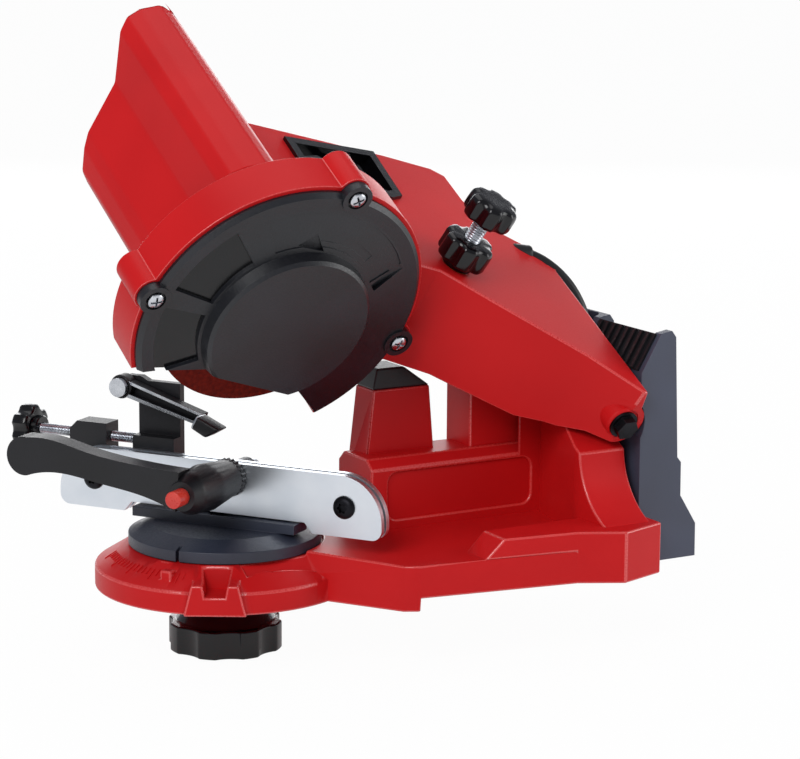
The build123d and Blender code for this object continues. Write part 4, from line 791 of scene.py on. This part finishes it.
# ---- pawl: bent sheet channel with bright ground edges, its tip and the eye round its pin
pawlSize = {
    "outer": [(-55.8, 83.2), (-13.6, 70.2), (-15.6, 64.6), (-58.0, 75.6)],
    "inner": [(-54.6, 81.4), (-15.2, 69.3), (-16.4, 66.2), (-56.2, 77.0)],
    "tip": [(-17.0, 64.6), (-14.0, 70.4), (-1.6, 65.0), (-9.3, 60.6)],
    "back": -9.7, "front": -4.2, "sheet": 1.2, "edge": 0.2, "tipBack": -7.0, "tipFront": 2.0, "tipEdge": 1.2,
    "pin": (-57.0, 79.3), "eyeR": 5.6, "eyeHoleR": 5.0, "eye": [
        (2.5, -9.7), (5.6, -9.7), (5.6, -4.4), (5.1, -3.9), (4.7, -3.9), (4.5, -4.4), (4.5, -8.6),
        (2.5, -8.6)],
    "groundDepth": 0.25, "groundEnd": -13}
back, front = pawlSize["back"], pawlSize["front"]
eyeMatrix = plateMatrix @ Matrix.Translation(Vector((*pawlSize["pin"], 0)) * mm)
channel = outlinePlate(pawlSize["outer"], back, front, plateMatrix)
carve(channel, [
    outlinePlate(pawlSize["inner"], back + pawlSize["sheet"], 3, plateMatrix),
    outlinePlate(roundOutline(pawlSize["eyeHoleR"]), back - 1, 3, eyeMatrix)])
eye = spunPiece(pawlSize["eye"], eyeMatrix, 40)
tip = outlinePlate(pawlSize["tip"], pawlSize["tipBack"], pawlSize["tipFront"], plateMatrix)
for piece, width, segments in ((channel, pawlSize["edge"], 1), (tip, pawlSize["tipEdge"], 3)):
    applyModifier(
        piece, "BEVEL", width=width * mm, segments=segments, limit_method="ANGLE", angle_limit=35 * degree)
pawl = finishPiece(
    joinPieces([channel, eye, tip]), "pawlChannel", blackNylon, "pawl", ("pawl",), 35)
pawl.data.materials.append(turnedSteel)
plateBack = plateMatrix.inverted()
for face in pawl.data.polygons:
    spot = plateBack @ face.center / mm
    onFront = spot.z > front - pawlSize["groundDepth"] and spot.x < pawlSize["groundEnd"]
    if onFront and (spot.xy - Vector(pawlSize["pin"])).length > pawlSize["eyeR"]:
        face.material_index = 1

# ---- plate screws: domed black heads with a six-lobed recess
plateScrew = {
    "spots": [(-67.0, 36.5), (63.0, 36.5)], "recessR": 2.5, "lobes": 6, "notchR": 0.9, "notchIn": 0.7,
    "recessFloor": 4.9, "profile": [
        (0, -7.5), (2.5, -7.5), (2.5, 4.0), (5.3, 4.0), (5.3, 4.5), (5.0, 5.2), (4.3, 5.9), (3.2, 6.4),
        (0, 6.7)]}
recess = starOutline(
    plateScrew["recessR"], plateScrew["lobes"], plateScrew["notchR"], plateScrew["notchIn"], 60)
screws = []
for x, y in plateScrew["spots"]:
    around = plateMatrix @ Matrix.Translation(Vector((x, y, 0)) * mm)
    screw = spunPiece(plateScrew["profile"], around, 40)
    carve(screw, [outlinePlate(recess, plateScrew["recessFloor"], 9, around)])
    screws.append(screw)
finishPiece(
    joinPieces(screws), "plateScrews", blackOxide, bodyOf["plate_screws"],
    ("plate_screws",), 35)
print("pawl and plate screws done")

# ---- camera, floor and light
studio = {
    "cameraPlace": (-0.5448, -1.1077, 0.3285), "azimuth": 29.9, "down": 11.0, "roll": 0.4, "lens": 124.416,
    "floorSize": 40.0, "floorGap": 0.4, "floorTone": "#F2F2F2", "seenFloor": 0.97, "glossyFloor": 0.55,
    "world": 0.35, "worldTone": "#F1F4FF", "aim": (0.06, -0.02, 0.10)}
# Place, width and height in metres, and power in watts
lamps = {
    "keyBox": ((-1.1, -0.9, 1.1), (1.0, 0.8), 17.0), "fillBox": ((1.4, -0.7, 0.4), (1.0, 0.9), 8.0),
    "topBox": ((0.1, 0.3, 1.5), (1.2, 1.2), 5.0), "backBox": ((1.0, 1.6, 0.5), (2.0, 0.7), 12.0)}
azimuth, down, roll = (studio[k] * degree for k in ("azimuth", "down", "roll"))
look = Vector((math.sin(azimuth) * math.cos(down), math.cos(azimuth) * math.cos(down), -math.sin(down)))
side = Vector((math.cos(azimuth), -math.sin(azimuth), 0))
up = side.cross(look)
cameraX = side * math.cos(roll) + up * math.sin(roll)
cameraY = up * math.cos(roll) - side * math.sin(roll)
bpy.ops.object.camera_add(location=studio["cameraPlace"])
camera = bpy.context.object
camera.matrix_world = (
    Matrix.Translation(studio["cameraPlace"]) @ Matrix((cameraX, cameraY, -look)).transposed().to_4x4())
camera.data.lens = studio["lens"]
camera.data.sensor_width = 36.0
camera.data.clip_end = 50.0
bpy.context.scene.camera = camera
bpy.context.scene.view_settings.view_transform = "Standard"

floorPlace = (0, 0, cadLow.z - studio["floorGap"] * mm)
bpy.ops.mesh.primitive_plane_add(size=studio["floorSize"], location=floorPlace)
floor = bpy.context.object
floor.name = "floor"
floorPaint, floorTree, floorShader = newMaterial("paleFloor", {"Roughness": 0.9})
floorShader.inputs["Base Color"].default_value = linear(studio["floorTone"])
floorGlow = addNode(floorTree, "ShaderNodeEmission")
floorGlow.inputs["Color"].default_value = (1, 1, 1, 1)
floorRay = addNode(floorTree, "ShaderNodeLightPath")
floorGloss = addNode(
    floorTree, "ShaderNodeMath", {0: floorRay.outputs["Is Glossy Ray"]}, operation="MULTIPLY")
floorGloss.inputs[1].default_value = studio["glossyFloor"]
floorSeen = addNode(
    floorTree, "ShaderNodeMath", {0: floorRay.outputs["Is Camera Ray"]}, operation="MULTIPLY")
floorSeen.inputs[1].default_value = studio["seenFloor"]
floorShare = addNode(floorTree, "ShaderNodeMath", {0: floorSeen.outputs[0], 1: floorGloss.outputs[0]})
floorMix = addNode(floorTree, "ShaderNodeMixShader", {
    0: floorShare.outputs[0], 1: floorShader.outputs[0], 2: floorGlow.outputs[0]})
floorTree.links.new(floorMix.outputs[0], floorTree.nodes["Material Output"].inputs["Surface"])
floor.data.materials.append(floorPaint)

world = bpy.data.worlds.new("studioRoom")
bpy.context.scene.world = world
world.use_nodes = True
worldTree = world.node_tree
worldLight = worldTree.nodes["Background"]
worldRay = addNode(worldTree, "ShaderNodeLightPath")
worldTint = addNode(worldTree, "ShaderNodeMix", {0: worldRay.outputs["Is Camera Ray"]}, data_type="RGBA")
worldTint.inputs[6].default_value = linear(studio["worldTone"])
worldTint.inputs[7].default_value = (1, 1, 1, 1)
worldTree.links.new(worldTint.outputs[2], worldLight.inputs["Color"])
worldStrength = addNode(worldTree, "ShaderNodeMapRange", {"Value": worldRay.outputs["Is Camera Ray"]})
worldStrength.inputs["To Min"].default_value = studio["world"]
worldStrength.inputs["To Max"].default_value = 1.0
worldTree.links.new(worldStrength.outputs["Result"], worldLight.inputs["Strength"])

aim = Vector(studio["aim"])
for name, (spot, size, power) in lamps.items():
    bpy.ops.object.light_add(type="AREA", location=spot)
    lamp = bpy.context.object
    lamp.name = name
    lamp.data.shape = "RECTANGLE"
    lamp.data.size, lamp.data.size_y = size
    lamp.data.energy = power
    lamp.visible_camera = False
    turned = (aim - Vector(spot)).to_track_quat("-Z", "Y").to_matrix().to_4x4()
    lamp.matrix_world = Matrix.Translation(spot) @ turned
print("camera, floor and lamps placed")
